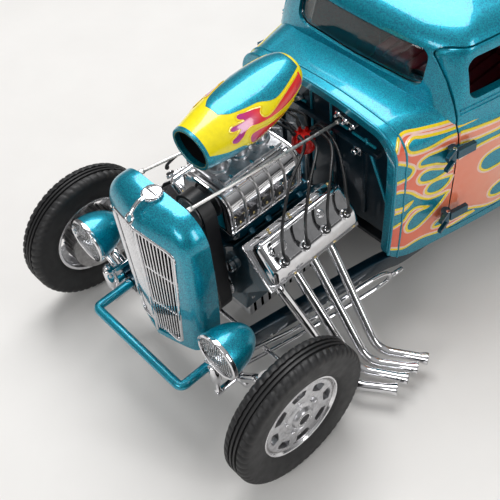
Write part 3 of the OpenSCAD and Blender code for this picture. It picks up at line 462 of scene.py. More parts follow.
def cast_metal(name, colour, rough=0.35, grain=0.35):
    """Cast and lightly polished metal."""
    material, tree, shader = nodes_of(name, {"Metallic": 1.0})
    c = np.array(colour)
    vary(tree, shader, "Base Color", noise(tree, 900.0, 6.0), [(0.3, c * 0.75), (0.7, c * 1.1)])
    vary(tree, shader, "Roughness", noise(tree, 600.0), [(0.3, grey(rough * 0.7)), (0.75, grey(rough * 1.3))])
    bump(tree, shader, noise(tree, 1500.0, 4.0), grain, 0.05, soft_edges(tree, shader, 0.15))
    return material


def clear_plastic(name, tint, flutes=0.0):
    """Clear plastic; flutes gives a lamp's lens its upright ribs."""
    material, tree, shader = nodes_of(name, {"Base Color": (*tint, 1), "Transmission Weight": 1.0,
                                             "IOR": 1.45})
    vary(tree, shader, "Roughness", noise(tree, 500.0), [(0.3, grey(0.01)), (0.8, grey(0.06))])
    if flutes:
        wave = add_node(tree, "TexWave", Scale=flutes, Distortion=0.0)
        tree.links.new(coordinates(tree), wave.inputs["Vector"])
        bump(tree, shader, wave.outputs["Fac"], 0.5, 0.12)
    return material


teal = metallic_paint("teal_metallic", (0.0, 0.33, 0.44), (0.0, 0.1, 0.22))
# Near-black copy of the body's teal: painted shade for the teal firewall, frame, crossmembers, rear axle and
# dashboard, which sit in deep shadow.
deep_shade_teal = metallic_paint("dark_teal_metallic", (0.001, 0.022, 0.04), (0.0, 0.01, 0.022), 0.2)
# Darker copy of the body's teal: painted shade for the engine castings and the door hinges, which are the
# same teal.
shaded_teal = metallic_paint("engine_teal_metallic", (0.0, 0.075, 0.12), (0.0, 0.03, 0.06), 0.2)
chrome = plated("chrome_plating", (0.8, 0.8, 0.82))
brushed = plated("brushed_rods", (0.9, 0.88, 0.85), 0.38, 0.02, 1500.0)
bright = plated("polished_rim", (0.88, 0.88, 0.9), 0.14, 0.04, 900.0)
aluminium = cast_metal("cast_aluminium", (0.62, 0.62, 0.64))
satin = cast_metal("satin_drum", (0.42, 0.41, 0.41), 0.45)
brass = plated("brass_bolts", (0.85, 0.68, 0.32), 0.2)
rubber = moulded("tyre_rubber", (0.011, 0.011, 0.012), 0.55, 0.35, 1800.0)
black = moulded("black_plastic", (0.012, 0.012, 0.014), 0.42)
wire_black = moulded("wire_black", (0.01, 0.01, 0.011), 0.3, 0.1)
red = moulded("red_cap", (0.62, 0.012, 0.008), 0.28, 0.12)
seat_red = moulded("seat_moulding", (0.2, 0.012, 0.02), 0.45, 0.5, 1400.0, 0.08)
dial = moulded("dial_face", (0.75, 0.72, 0.66), 0.4, 0.1)
glass = clear_plastic("window_plastic", (0.93, 0.97, 0.97))
lens = clear_plastic("lens_plastic", (0.96, 0.98, 1.0), 420.0)
tail_red = clear_plastic("taillight_plastic", (0.8, 0.02, 0.02), 300.0)
yellow = enamel("flame_yellow", [(0, (0.95, 0.7, 0.0))])
pale = enamel("flame_pinstripe", [(0, (0.95, 0.62, 0.5))])
scoop_yellow = enamel("scoop_yellow", [(0, (0.95, 0.8, 0.0))])
flame_fill = enamel("flame_fill", [(48, (0.8, 0.045, 0.02)), (62, (0.9, 0.16, 0.06)),
                                   (84, (0.93, 0.3, 0.17)), (112, (0.95, 0.62, 0.48))])
drip_fill = enamel("scoop_drips", [(17, (0.36, 0.02, 0.3)), (23, (0.5, 0.02, 0.22)),
                                   (27, (0.85, 0.03, 0.03))])


# ---------- body surface, as in the part's source ----------

def clamp01(a):
    return max(0.0, min(1.0, a))


def mix(a, b, u):
    return a + (b - a) * u


def super_arc(u, p):
    return max(0.0, 1 - clamp01(u) ** p) ** (1 / p)


def body_w(y, t=0.0):
    if y < widest_y:
        u = clamp01((y - cowl_y) / (widest_y - cowl_y))
        return mix(cowl_half_w, body_half_w, math.sin(math.pi / 2 * u)) - t
    u = clamp01((y - widest_y) / (tail_y - max(t, 0) - widest_y))
    return mix(body_half_w, tail_half_w, u ** 4) - t


def body_top(y, t=0.0):
    if y < deck_y:
        return mix(cowl_top_z, deck_z, clamp01((y - cowl_y) / (deck_y - cowl_y))) - t
    return mix(tail_top_z, deck_z - t, super_arc((y - deck_y) / (tail_y - max(t, 0) - deck_y), 2.1))


def body_low(y):
    if y < cowl_y + 9:
        return mix(cowl_low_z, sill_z, math.sqrt(1 - (1 - (y - cowl_y) / 9) ** 2))
    if y < rear_axle_y + 6:
        return sill_z
    return mix(sill_z, tail_low_z, ((y - rear_axle_y - 6) / (tail_y - rear_axle_y - 6)) ** 2)


body_crown, body_tuck = 1.6, 1.4


def body_half(y, t=0.0):
    """The left half of the body's section at a station, from the sill up to the centre."""
    w, top = body_w(y, t), body_top(y, t)
    low = body_low(y) - (3 if t > 0 else 0)
    r = min(mix(8, 14, clamp01((y - cowl_y) / 90)) - t, 0.7 * (top - low))
    zc = top - body_crown - r
    side = [(w - body_tuck * (1 - u) ** 2, mix(low, zc, u)) for u in np.linspace(0, 1, 15)]
    arc = [(w - r + r * math.cos(a), zc + r * math.sin(a)) for a in np.linspace(0, math.pi / 2, 19)[1:]]
    crown = [((w - r) * (1 - u), top - body_crown * (1 - u) ** 2) for u in np.linspace(0, 1, 13)[1:]]
    return side + arc + crown


def body_ring(y, t=0.0, shift=0.0):
    half = body_half(y, t)
    both = [(-x, z) for x, z in half] + [(x, z) for x, z in half[-2::-1]]
    return [(x, y + shift, z) for x, z in both]


def tub(name, material, t=0.0):
    """The body below the belt as a solid; t sinks its surface."""
    eases = cowl_y + 10 * np.linspace(0, 1, 13) ** 1.6
    middle = np.linspace(cowl_y + 10, deck_y, 36)[1:]
    tail = mix(deck_y, tail_y - max(t, 0), np.sin(np.linspace(0, math.pi / 2, 41)[1:]))
    rings = [body_ring(y, t) for y in np.concatenate([eases, middle, tail])]
    if t != 0:
        rings.insert(0, body_ring(cowl_y, t, -1.0 if t > 0 else -0.001))
    return new_object(name, *loft(rings), material)


cab_front_y, cab_rear_y, belt_z, cab_low_z = 61.5, 149, 58, 54
cab_lean, roof_round, cab_inset = 0.17, 6.5, 0.8


def cab_ring(z, d, df, dr):
    h = max(0.0, z - belt_z)
    yf, yr = cab_front_y + 0.24 * h + df, cab_rear_y - 0.55 * h - dr
    side = []
    for u in (1 - np.cos(np.linspace(0, math.pi, 49))) / 2:
        y = mix(yf, yr, u)
        ends = super_arc(1 - (y - yf) / 7, 2.6) * super_arc(1 - (yr - y) / 17, 2.3)
        side.append(((body_w(y) - cab_inset - cab_lean * h - d) * ends, y, z))
    return side + [(-x, y, z) for x, y, z in side[-2:0:-1]]


def cab(name, material, t=0.0):
    """The cab above the belt as a solid."""
    top, rr = roof_z - t, roof_round
    low = cab_low_z - (6 if t > 0 else 0)
    rings = [cab_ring(z, t, t, t) for z in np.concatenate([[low], np.linspace(belt_z, top - rr, 8)])]
    for a in np.linspace(0, math.pi / 2, 13)[1:]:
        s = 1 - math.cos(a)
        rings.append(cab_ring(top - rr + (rr - 1) * math.sin(a), t + rr * s, t + 7 * s, t + 15 * s))
    for s in np.linspace(1, 2.6, 11)[1:]:
        rings.append(cab_ring(top - (2.6 - s) ** 2 / 2.56, t + rr * s, t + 7 * s, t + 15 * s))
    verts, faces = loft(rings)
    return new_object(name, verts, [f[::-1] for f in faces], material)


def skin(name, material):
    outer = unite(tub(name, material), cab("cab_outer", material))
    inner = unite(tub("tub_inner", material, wall), cab("cab_inner", material, wall))
    return subtract(outer, inner)


# ---------- cutters ----------

def rounded_rect(low, high, r, steps=10):
    """A rectangle with round corners, as points in order."""
    (x0, y0), (x1, y1) = low, high
    out = []
    for cx, cy, a0 in ((x1 - r, y1 - r, 0), (x0 + r, y1 - r, 90), (x0 + r, y0 + r, 180),
                       (x1 - r, y0 + r, 270)):
        for a in np.radians(np.linspace(a0, a0 + 90, steps)):
            out.append((cx + r * math.cos(a), cy + r * math.sin(a)))
    return out


def prism_x(outline, x0, x1, material, name="prism"):
    """An outline of (y, z) points pushed along x."""
    return new_object(name, *loft([[(x, y, z) for y, z in outline] for x in (x0, x1)]), material)


def prism_y(outline, y0, y1, material, name="prism"):
    """An outline of (x, z) points pushed along y."""
    return new_object(name, *loft([[(x, y, z) for x, z in outline] for y in (y0, y1)]), material)


def door_outline(grow=0.0):
    return rounded_rect((door_front_y - grow, door_sill_z - grow), (door_rear_y + grow, door_top_z + grow), 3)


def door_window():
    return rounded_rect((door_front_y + pillar, window_sill_z),
                        (door_rear_y - pillar, window_sill_z + window_h), window_corner_r)


quarter_low = (door_rear_y + pillar, window_sill_z)
quarter_window = rounded_rect(quarter_low, (quarter_low[0] + 10, quarter_low[1] + window_h - 1),
                              window_corner_r)
windshield = rounded_rect((-windshield_half_w, window_sill_z + 2.5),
                          (windshield_half_w, window_sill_z + window_h + 1), window_corner_r)
rear_window = rounded_rect((-rear_window_half_w, window_sill_z + 1),
                           (rear_window_half_w, window_sill_z + window_h - 2), window_corner_r)
far_x = body_half_w + 1


def trunk_cut(material, grow=0.0):
    w = trunk_half_w + grow
    outline = [(-w, trunk_low_z - grow), (w, trunk_low_z - grow), (w, deck_z + 8), (-w, deck_z + 8)]
    return prism_y(outline, trunk_front_y - grow, tail_y + 1, material)


def copy_of(thing, name):
    twin = thing.copy()
    twin.data = thing.data.copy()
    twin.name = twin.data.name = name
    bpy.context.scene.collection.objects.link(twin)
    return twin


taillight_r = 2.2
taillight_x, taillight_z = trunk_half_w + taillight_r + 2.2, 30.5


def make_body():
    whole = skin("body_skin", teal)
    door_skin, lid = copy_of(whole, "door_panel_left"), copy_of(whole, "trunk_panel")
    whole.name = "body_panels"
    for s in (1, -1):
        subtract(whole, prism_x(door_outline(panel_gap), s * (door_inner_x - panel_gap), s * far_x, teal))
        subtract(whole, prism_x(quarter_window, s * door_inner_x, s * far_x, teal))
        arch = revolve([(tip, s * 15), (arch_r, s * 15), (arch_r, s * far_x), (tip, s * far_x)],
                       (0, rear_axle_y, rear_tyre_r), "x", 96, True)
        subtract(whole, new_object("arch", *arch, teal))
        hole = revolve([(tip, rear_axle_y), (taillight_r + 0.05, rear_axle_y),
                        (taillight_r + 0.05, tail_y + 2), (tip, tail_y + 2)],
                       (s * taillight_x, 0, taillight_z), "y", 40, True)
        subtract(whole, new_object("light_hole", *hole, teal))
    subtract(whole, prism_y(windshield, cab_front_y - 1, cab_front_y + 12, teal))
    subtract(whole, prism_y(rear_window, cab_rear_y - 24, cab_rear_y + 4, teal))
    subtract(whole, trunk_cut(teal, panel_gap))
    dress(whole, ["body_shell"])
    keep_common(door_skin, prism_x(door_outline(), door_inner_x, far_x, teal))
    subtract(door_skin, prism_x(door_window(), door_inner_x - 1, far_x + 1, teal))
    right = copy_of(door_skin, "door_panel_right")
    flip_x(right)
    dress(door_skin, ["door_left"], body="left_door")
    dress(right, ["door_right"], body="right_door")
    keep_common(lid, trunk_cut(teal))
    dress(lid, ["trunk_lid"], body="trunk_lid")


def flip_x(thing):
    """Turns a mesh into its mirror image."""
    bm = bmesh.new()
    bm.from_mesh(thing.data)
    for v in bm.verts:
        v.co.x = -v.co.x
    bmesh.ops.reverse_faces(bm, faces=bm.faces[:])
    bm.to_mesh(thing.data)
    bm.free()


def side_x(y, z, t=0.0):
    """Half width of the body's outside at a height."""
    y = max(y, cowl_y)
    w, top, low = body_w(y, t), body_top(y, t), body_low(y)
    r = min(mix(8, 14, clamp01((y - cowl_y) / 90)) - t, 0.7 * (top - low))
    zc = top - body_crown - r
    if z < zc:
        return w - body_tuck * (1 - clamp01((z - low) / (zc - low))) ** 2
    return w - r + math.sqrt(max(0.0, r * r - (z - zc) ** 2))


def side_normal(y, z):
    e = 0.05
    dy = (side_x(y + e, z) - side_x(y, z)) / e
    dz = (side_x(y, z + e) - side_x(y, z - e)) / (2 * e)
    return unit(np.array([1.0, -dy, -dz]))


# ---------- flames ----------

# Outlines on the body's side as (y, z); a third value marks the point of a tongue
flame_outline = [
    (49.6, 53.9), (49.6, 56.0, 1), (51.9, 58.7), (54.2, 59.4), (58.2, 58.7), (66, 57.5), (75, 57.1),
    (84, 57.8, 1),
    (76, 55.6), (66, 55.8), (58.5, 57.1), (55.5, 57.9), (53.4, 57.1), (53.2, 55.7), (54.8, 54.5), (59, 53.9),
    (65, 54.2), (73, 53.0), (82, 52.2), (93, 53.4, 1),
    (84, 49.6), (74, 49.4), (66, 51.0), (61, 51.5), (58.2, 51.6), (56.3, 50.6), (56.4, 49.0), (58.4, 48.3),
    (61.2, 47.3), (63.6, 45.9), (67, 45.4), (73, 46.6), (81, 46.4), (90, 44.8), (101, 46.6, 1),
    (93, 41.4), (86, 40.8), (80.5, 42.0), (77.2, 41.6), (75.4, 40.2), (75.2, 37.6), (77.4, 35.4), (81, 35.2),
    (87, 36.2), (95, 35.4), (106, 37.4, 1),
    (98, 31.6), (90, 29.6), (84.5, 28.2), (81.2, 26.8), (80.3, 24.6), (81.6, 22.8), (85, 22.0), (92, 22.8),
    (102, 25.2, 1),
    (93, 20.4), (86, 19.2), (80.5, 19.6), (74.5, 22.4), (68.6, 24.2), (65.2, 24.4), (63.2, 23.8),
    (63.0, 22.2), (65.6, 21.4), (69.5, 21.5), (76.5, 20.2, 1),
    (70.5, 19.2), (65.4, 18.9), (60.5, 20.0), (57.4, 19.9), (54.4, 19.2), (51.8, 20.4), (49.6, 21.8, 1),
    (49.6, 30.3, 1), (51.4, 30.6), (53.2, 31.4), (54.6, 33.5), (56.8, 34.2), (60.4, 32.2, 1),
    (57.2, 32.4), (55.4, 31.2), (54.1, 28.3), (55.1, 25.8), (57.9, 25.9), (61.2, 28.5), (64.2, 31.9),
    (66.0, 34.8, 1),
    (63.2, 34.9), (60.2, 35.4), (57.2, 37.8), (54.6, 40.9), (51.6, 43.0), (49.6, 43.4, 1),
    (49.6, 47.0, 1), (51.6, 46.9), (53.6, 47.1), (54.6, 48.6), (54.2, 50.2), (51.8, 52.4), (49.6, 53.9, 1)]
flame_holes = [
    [(56.3, 44.9), (57.2, 46.2), (59.2, 46.5), (62, 45.2), (66.2, 43.1, 1), (61.6, 41.9), (58.4, 42.4),
     (56.8, 43.4)],
    [(58.8, 39.4), (59.9, 41.0), (62.2, 41.3), (66.4, 40.4, 1), (65.6, 38.2), (63.4, 36.6), (60.8, 36.9),
     (59.2, 38.0)]]
flame_curl = [(49.6, 37.4, 1), (52.4, 36.7), (55.2, 37.5, 1), (53.0, 35.4), (49.6, 35.7, 1)]
flame_edge_y = 49.7
paint_x, cutter_x = (10, far_x + 1), (9, far_x + 2)  # reach of the painted outlines and of their cutters


def flowing(points, per=7):
    """A closed outline that curves through its points and is sharp only at marked ones."""
    p = [np.array(q[:2], float) for q in points]
    sharp = [i for i, q in enumerate(points) if len(q) > 2]
    out = []
    for a, b in zip(sharp, sharp[1:] + [sharp[0] + len(p)]):
        run = [p[i % len(p)] for i in range(a, b + 1)]
        if np.linalg.norm(run[0] - run[-1]) < 1e-6 and len(run) == 2:
            continue
        out += list(curve_through(run, per)[:-1]) if len(run) > 2 else [run[0]]
    keep = [out[0]]
    for q in out[1:]:
        if np.linalg.norm(q - keep[-1]) > 0.02:
            keep.append(q)
    return keep


def stripe(path, normals, width, height, shift=0.0):
    """A thin raised band along a path on a surface, moved sideways by shift."""
    t = np.gradient(path, axis=0)
    t /= np.linalg.norm(t, axis=1)[:, None] + 1e-12
    b = np.cross(normals, t)
    centre = path + shift * b
    w = width / 2
    half = [(w, -0.05), (w, 0.5 * height), (0.5 * w, height)]
    section = [(-u, v) for u, v in half] + half[::-1]
    return loft([[c + u * q + v * n for u, v in section] for c, q, n in zip(centre, b, normals)])


def in_steps(loop, step):
    """A closed outline with further points, so that none is much over a step from the next."""
    out = []
    for a, b in zip(loop, loop[1:] + loop[:1]):
        parts = max(1, int(np.linalg.norm(b - a) / step))
        out += [a + (b - a) * k / parts for k in range(parts)]
    return out


def stripe_runs(loop, on_door):
    """The stretches of a closed outline on the door or on the body, as lists of points."""
    runs, run = [], []
    fine = in_steps(loop, 0.5)
    for y, z in fine + fine[:1]:
        inside = y > door_front_y if on_door else flame_edge_y < y < door_front_y - panel_gap
        if inside:
            run.append((y, z))
        elif run:
            runs.append(run)
            run = []
    if run:
        runs.append(run)
    return [r for r in runs if len(r) > 3]


def make_flames():
    loops = [flowing(flame_outline)] + [flowing(h) for h in flame_holes] + [flowing(flame_curl)]
    skin_of_paint = subtract(tub("flame_sheet", flame_fill, -0.05), tub("flame_under", flame_fill, 0.4))
    fill = copy_of(skin_of_paint, "flame_fill_body_left")
    keep_common(fill, prism_x(loops[0], *paint_x, flame_fill))
    for hole in loops[1:3]:
        subtract(fill, prism_x(hole, *cutter_x, flame_fill))
    curl = keep_common(skin_of_paint, prism_x(loops[3], *paint_x, flame_fill))
    unite(fill, curl)
    on_door = copy_of(fill, "flame_fill_door_left")
    keep_common(on_door, prism_x(door_outline(), *cutter_x, flame_fill))
    subtract(fill, prism_x(door_outline(panel_gap), *cutter_x, flame_fill))
    for thing, door in ((fill, False), (on_door, True)):
        twin = copy_of(thing, thing.name.replace("left", "right"))
        flip_x(twin)
        dress(thing, body="left_door" if door else "chassis")
        dress(twin, body="right_door" if door else "chassis")
    for label, material, width, height, shift in (
            ("pinstripe", pale, 1.15, 0.08, 0.28), ("outline", yellow, 0.85, 0.11, 0.0)):
        for on, place_name in ((False, "body"), (True, "door")):
            band = Shape()
            for k, loop in enumerate(loops):
                area = sum(a[0] * b[1] - b[0] * a[1] for a, b in zip(loop, loop[1:] + loop[:1]))
                inward = (1 if area > 0 else -1) * (-1 if k in (1, 2) else 1)
                for run in stripe_runs(loop, on):
                    path = np.array([(side_x(y, z) + 0.04, y, z) for y, z in run])
                    normals = np.array([side_normal(y, z) for y, z in run])
                    band.add(*stripe(path, normals, width, height, shift * inward))
            verts, faces = band.all_verts(), band.faces
            mirror = (verts * [-1, 1, 1], [f[::-1] for f in faces])
            for word, form in (("left", (verts, faces)), ("right", mirror)):
                piece(f"flame_{label}_{place_name}_{word}", form, material,
                      body=f"{word}_door" if on else "chassis")


make_body()
make_flames()


# ---------- grille shell, grille and cap ----------

shell_half_w, shell_top_z, shell_low_z, shell_wall, shell_rear_y = 15.1, 63.6, 18.8, 1.3, 2
shell_round, ridge_low_y = 8, -8.2


def shell_w(z, t=0.0):
    r, top = shell_round, shell_top_z - t
    side = mix(shell_half_w - 2.6, shell_half_w, math.sin(math.pi / 2 * clamp01((z - shell_low_z) / 30))) - t
    if z < top - r:
        return side
    return side - r * (1 - math.sqrt(max(0.0, 1 - ((z - top + r) / r) ** 2)))


def ridge_y(z, t=0.0):
    top = shell_top_z - t
    r = shell_round
    ease = 0 if z < top - r else 0.8 * r * (1 - math.sqrt(max(0.0, 1 - ((z - top + r) / r) ** 2)))
    return ridge_low_y + 0.025 * (z - shell_low_z) + t + ease


def shell_half_section(z, t=0.0):
    """Points from the ridge round to the rear edge of the shell's left side at a height."""
    w, y = shell_w(z, t), ridge_y(z, t)
    back = shell_rear_y + (1 if t > 0 else 0)
    deep = back - y
    steps = [(0, 0), (0.4, min(1.25, 0.12 * deep)), (0.78, min(2.7, 0.26 * deep)),
             (0.9, min(3.5, 0.36 * deep)), (0.97, min(4.9, 0.5 * deep)), (1, min(6.6, 0.7 * deep)), (1, deep)]
    return curve_through([(u * w, y + d) for u, d in steps], 5)


def shell_front_y(x, z):
    """Station of the shell's front face at a point of the front view."""
    half = shell_half_section(z)
    return float(np.interp(abs(x), half[:, 0], half[:, 1]))


def shell_solid(name, t=0.0):
    low, top = shell_low_z - (1 if t > 0 else 0), shell_top_z - t
    r = shell_round
    heights = list(np.linspace(low, top - r, 30))
    heights += [top - r + r * math.sin(a) for a in np.linspace(0, math.pi / 2, 22)[1:]]
    rings = []
    for z in heights:
        half = shell_half_section(z, t)
        rings.append([(x, y, z) for x, y in half] + [(-x, y, z) for x, y in half[:0:-1]])
    return new_object(name, *loft(rings), teal)


def rounded_polygon(corners, reach, per=6):
    """A closed polygon whose corners are rounded, each over its own reach."""
    p = [np.array(c, float) for c in corners]
    out = []
    for i, r in enumerate(reach):
        before, here, after = p[i - 1], p[i], p[(i + 1) % len(p)]
        a = here + r * unit(before - here)
        b = here + r * unit(after - here)
        for u in np.linspace(0, 1, per + 1):
            out.append((1 - u) ** 2 * a + 2 * u * (1 - u) * here + u * u * b)
    return out


grille_low, grille_top, grille_peak_z = (8, 20.4), (11.5, 56.2), 58.2
bars_a_side = 11


def grille_outline(inset=0.0):
    (xl, zl), (xt, zt) = grille_low, grille_top
    corners = [(-xl + inset, zl + inset), (xl - inset, zl + inset), (xt - inset, zt - inset),
               (0, grille_peak_z - inset), (-xt + inset, zt - inset)]
    return rounded_polygon(corners, [1.3, 1.3, 2.6, 2.5, 2.6])


def make_grille():
    shell = subtract(shell_solid("radiator_shell"), shell_solid("shell_inner", shell_wall))
    subtract(shell, prism_y(grille_outline(), -12, -1, teal))
    dress(shell, ["grille_shell"])
    trim, bars = Shape(), Shape()
    loop = grille_outline(0.35)
    loop = loop[10:] + loop[:11]
    path = np.array([(x, shell_front_y(x, z) + 0.1, z) for x, z in loop])
    trim.add(*tube(path, 0.5, 10))
    piece("grille_surround", trim, chrome)
    for s in (-1, 1):
        for i in range(bars_a_side):
            u = (i + 0.55) / (bars_a_side + 0.2)
            top = grille_peak_z - (grille_peak_z - grille_top[1]) * u - 0.6
            rings = []
            for z in np.linspace(grille_low[1] + 0.4, top, 14):
                k = (z - grille_low[1]) / (grille_top[1] - grille_low[1])
                x = s * u * mix(grille_low[0], grille_top[0], k)
                y = shell_front_y(x, z) + 0.35
                rings.append([(x - 0.2, y + 0.15, z), (x, y, z), (x + 0.2, y + 0.15, z),
                              (x + 0.2, y + 1.3, z), (x - 0.2, y + 1.3, z)])
            bars.add(*loft(rings))
        for z in (32, 45):
            half = mix(grille_low[0], grille_top[0], (z - grille_low[1]) / 36) - 0.3
            row = [(s * x, shell_front_y(x, z) + 0.75, z - 0.12 * x) for x in np.linspace(0, half, 9)]
            bars.add(*tube(row, 0.3, 8))
    spine = [(0, shell_front_y(0, z) + 0.25, z) for z in np.linspace(grille_low[1], grille_peak_z - 0.4, 14)]
    bars.add(*tube(spine, 0.42, 10))
    piece("grille_bars", bars, chrome, ["grille"])


cap_r = 2.4


def make_cap():
    z0, r, centre = shell_top_z - 0.1, cap_r, (0, -0.4, 0)
    cap = Shape()
    cap.add(*revolve([(tip, z0), (r - 0.25, z0), (r, z0 + 0.35), (r, z0 + 0.9), (r - 0.25, z0 + 1.25),
                      (r - 0.55, z0 + 1.3), (tip, z0 + 1.3)], centre, "z", 48))
    cap.add(*box((-r + 0.6, -0.65, z0 + 1.1), (r - 0.6, -0.15, z0 + 1.75), 0.2))
    for a in np.linspace(0, 2 * math.pi, 25)[:-1]:
        x, y = r * math.cos(a), centre[1] + r * math.sin(a)
        cap.add(*rod((x, y, z0 + 0.25), (x, y, z0 + 1.0), 0.12, 6))
    arm = curve_through([(0, y, z0 + z) for y, z in ((-2.6, 1.0), (-4.2, 0.9), (-5.6, 0.1), (-6.9, -1.0))], 6)
    cap.add(*tube(arm, np.linspace(0.62, 0.42, len(arm)), 12))
    a = np.linspace(0.6, 5.7, 18)
    ring = np.column_stack([1.0 * np.sin(a), -7.3 - 0.75 * np.cos(a), z0 - 1.9 - 0.9 * np.cos(a)])
    cap.add(*tube(ring, 0.34, 10))
    piece("radiator_cap_and_bail", cap, chrome, ["radiator_cap"], 40)


def make_radiator_fins():
    fins = Shape()
    for z in np.arange(21, 56, 1.1):
        fins.add(*box((-9.8, -3.5, z), (9.8, -2.9, z + 0.35), 0.08))
    piece("radiator_fins", fins, black)


# ---------- lights and bumper bar ----------

headlight_r, headlight_x, headlight_z, headlight_y, headlight_len = 6.45, 25.1, 34.25, -8.6, 11
rail_front_y, bumper_half_w, bumper_z, bumper_r = -3.4, 17.1, 19.8, 1.25
bumper_y = cad_size("bumper_bar")[0][1] - front_axle_y + bumper_r
bracket_x, bracket_t = bumper_half_w + 1.7, 0.8


def make_headlights():
    shells, bezels, dishes, lenses, bulbs, stands = (Shape() for _ in range(6))
    r, y0 = headlight_r, headlight_y
    for s in (1, -1):
        at = (s * headlight_x, 0, headlight_z)
        back = [((r - 0.35) * math.cos(a), y0 + 1.2 + (headlight_len - 1.2) * math.sin(a))
                for a in np.linspace(0, math.pi / 2 - 0.02, 22)]
        shells.add(*revolve([(r - 0.9, y0 + 0.8)] + back, at, "y", 64))
        bezels.add(*revolve([(r - 1.0, y0 + 0.7), (r - 0.85, y0 + 0.15), (r - 0.45, y0),
                             (r - 0.08, y0 + 0.25), (r, y0 + 0.7), (r - 0.1, y0 + 1.25), (r - 0.5, y0 + 1.4)],
                            at, "y", 64))
        dishes.add(*revolve([(r - 0.8, y0 + 0.9), (0.8 * r, y0 + 2.6), (0.55 * r, y0 + 4.2),
                             (tip, y0 + 5.2)], at, "y", 48))
        dome = [((r - 0.9) * math.sin(a), y0 + 0.75 * (1 - math.cos(a)) + 0.02)
                for a in np.linspace(0.15, math.pi / 2, 12)]
        lenses.add(*revolve([(tip, y0 - 0.02)] + dome
                            + [(r - 1.0, y0 + 1.1), (0.5 * r, y0 + 0.75), (tip, y0 + 0.5)], at, "y", 48))
        bulbs.add(*revolve([(tip, y0 + 2.0), (0.8, y0 + 2.5), (0.9, y0 + 3.6), (0.6, y0 + 5.0)],
                           at, "y", 20))
        foot = (s * (bracket_x + bracket_t + 0.65), rail_front_y - 0.9, bumper_z + 3.6)
        head = (s * headlight_x, headlight_y + 4, headlight_z - headlight_r + 0.6)
        knee = (s * (headlight_x - 0.6), headlight_y + 4.1, head[2] - 2)
        stands.add(*tube(rounded_run([head, knee, foot], 1), 0.8, 14))
        stands.add(*revolve([(tip, -0.6), (1.3, -0.5), (1.5, 0.2), (1.2, 0.8), (0.9, 1.1)],
                            (head[0], head[1], head[2] - 0.5), "z", 20))
    piece("headlight_shells", shells, teal, ["headlights"])
    piece("headlight_bezels", bezels, chrome)
    piece("headlight_reflectors", dishes, chrome)
    piece("headlight_glass", lenses, lens, ["headlight_lenses"], 60)
    piece("headlight_bulbs", bulbs, dial)
    piece("headlight_stands", stands, chrome)


def make_bumper_bar():
    bar = Shape()
    ends = rail_front_y - 0.1
    corners = [(s * bumper_half_w, y, bumper_z)
               for s, y in ((1, ends), (1, bumper_y), (-1, bumper_y), (-1, ends))]
    bar.add(*tube(rounded_run(corners, 1.7), bumper_r, 24))
    piece("bumper_tube", bar, teal, ["bumper_bar"], 50)
    plugs = Shape()
    for s in (-1, 1):
        plugs.add(*hex_bolt((s * bumper_half_w, ends - 0.8, bumper_z + bumper_r - 0.05), (0, 0, 1), 0.5, 0.4))
    piece("bumper_bolts", plugs, chrome)


# ---------- frame ----------

rail_w, rail_h = 3, 5.2
riser_y = rear_axle_y - arch_r - 3
rail_path = [(bumper_half_w, rail_front_y, bumper_z - 0.6), (bumper_half_w + 0.4, 4, bumper_z - 0.9),
             (bumper_half_w + 1.6, 14, bumper_z - 1.6), (20.6, 32, 16.4), (22.4, cowl_y, 14),
             (23, cowl_y + 10, sill_z - 4), (25, 84, sill_z - 3), (25, riser_y - 8, sill_z - 3),
             (23, riser_y + 6, sill_z),
             (22, rear_axle_y - 10, 30), (22, rear_axle_y + 8, 30.6), (20, rear_axle_y + 26, 27)]


def make_rails():
    rails = Shape()
    section = rounded_rect((-rail_w / 2, -rail_h / 2), (rail_w / 2, rail_h / 2), 0.5, 4)
    path = curve_through(rail_path, 6)
    rails.both(*loft([[(x + dx, y, z + dz) for dx, dz in section] for x, y, z in path]))
    # The rails are the body's teal; their darker copy is painted shade under the body.
    piece("chassis_rails", rails, deep_shade_teal, ["frame_rails"])
    bolts = Shape()
    for y in (-1.5, 6, 12, 30, 41):
        x, z = np.interp(y, path[:, 1], path[:, 0]), np.interp(y, path[:, 1], path[:, 2])
        bolts.both(*hex_bolt((x + rail_w / 2, y, z - 1.4), (1, 0, 0), 0.5, 0.35))
    piece("rail_bolts", bolts, chrome)


make_grille()
make_cap()
make_radiator_fins()
make_headlights()
make_bumper_bar()
make_rails()


# ---------- front axle and suspension ----------

kingpin_x, spindle_z, beam_z = 31.5, front_tyre_r, front_tyre_r - 8


def make_axle():
    beam = Shape()
    end = kingpin_x - 1.7
    half = [(end, 0, spindle_z - 0.4), (end - 2, 0, spindle_z - 0.8), (end - 7, 0, beam_z + 2),
            (end - 10, 0, beam_z)]
    path = curve_through([(-x, y, z) for x, y, z in half] + half[::-1], 8)
    beam.add(*tube(path, 1.25, 20))
    for s in (-1, 1):
        at = (s * kingpin_x, 0, 0)
        low, high = spindle_z - 2.5, spindle_z + 2.5
        beam.add(*revolve([(0.98, low + 0.05), (1.7, low + 0.02), (1.88, low + 0.3), (1.88, high - 0.3),
                           (1.7, high - 0.02), (0.98, high - 0.05)], at, "z", 32, True))
        for x in (17, 19.5):
            beam.add(*rod((s * x, -1.5, beam_z), (s * x, 1.5, beam_z), 1.6, 24, 0.3))
    piece("axle_beam", beam, chrome, ["front_axle"], 40)


leaf_w, leaf_t = 2.5, 0.45


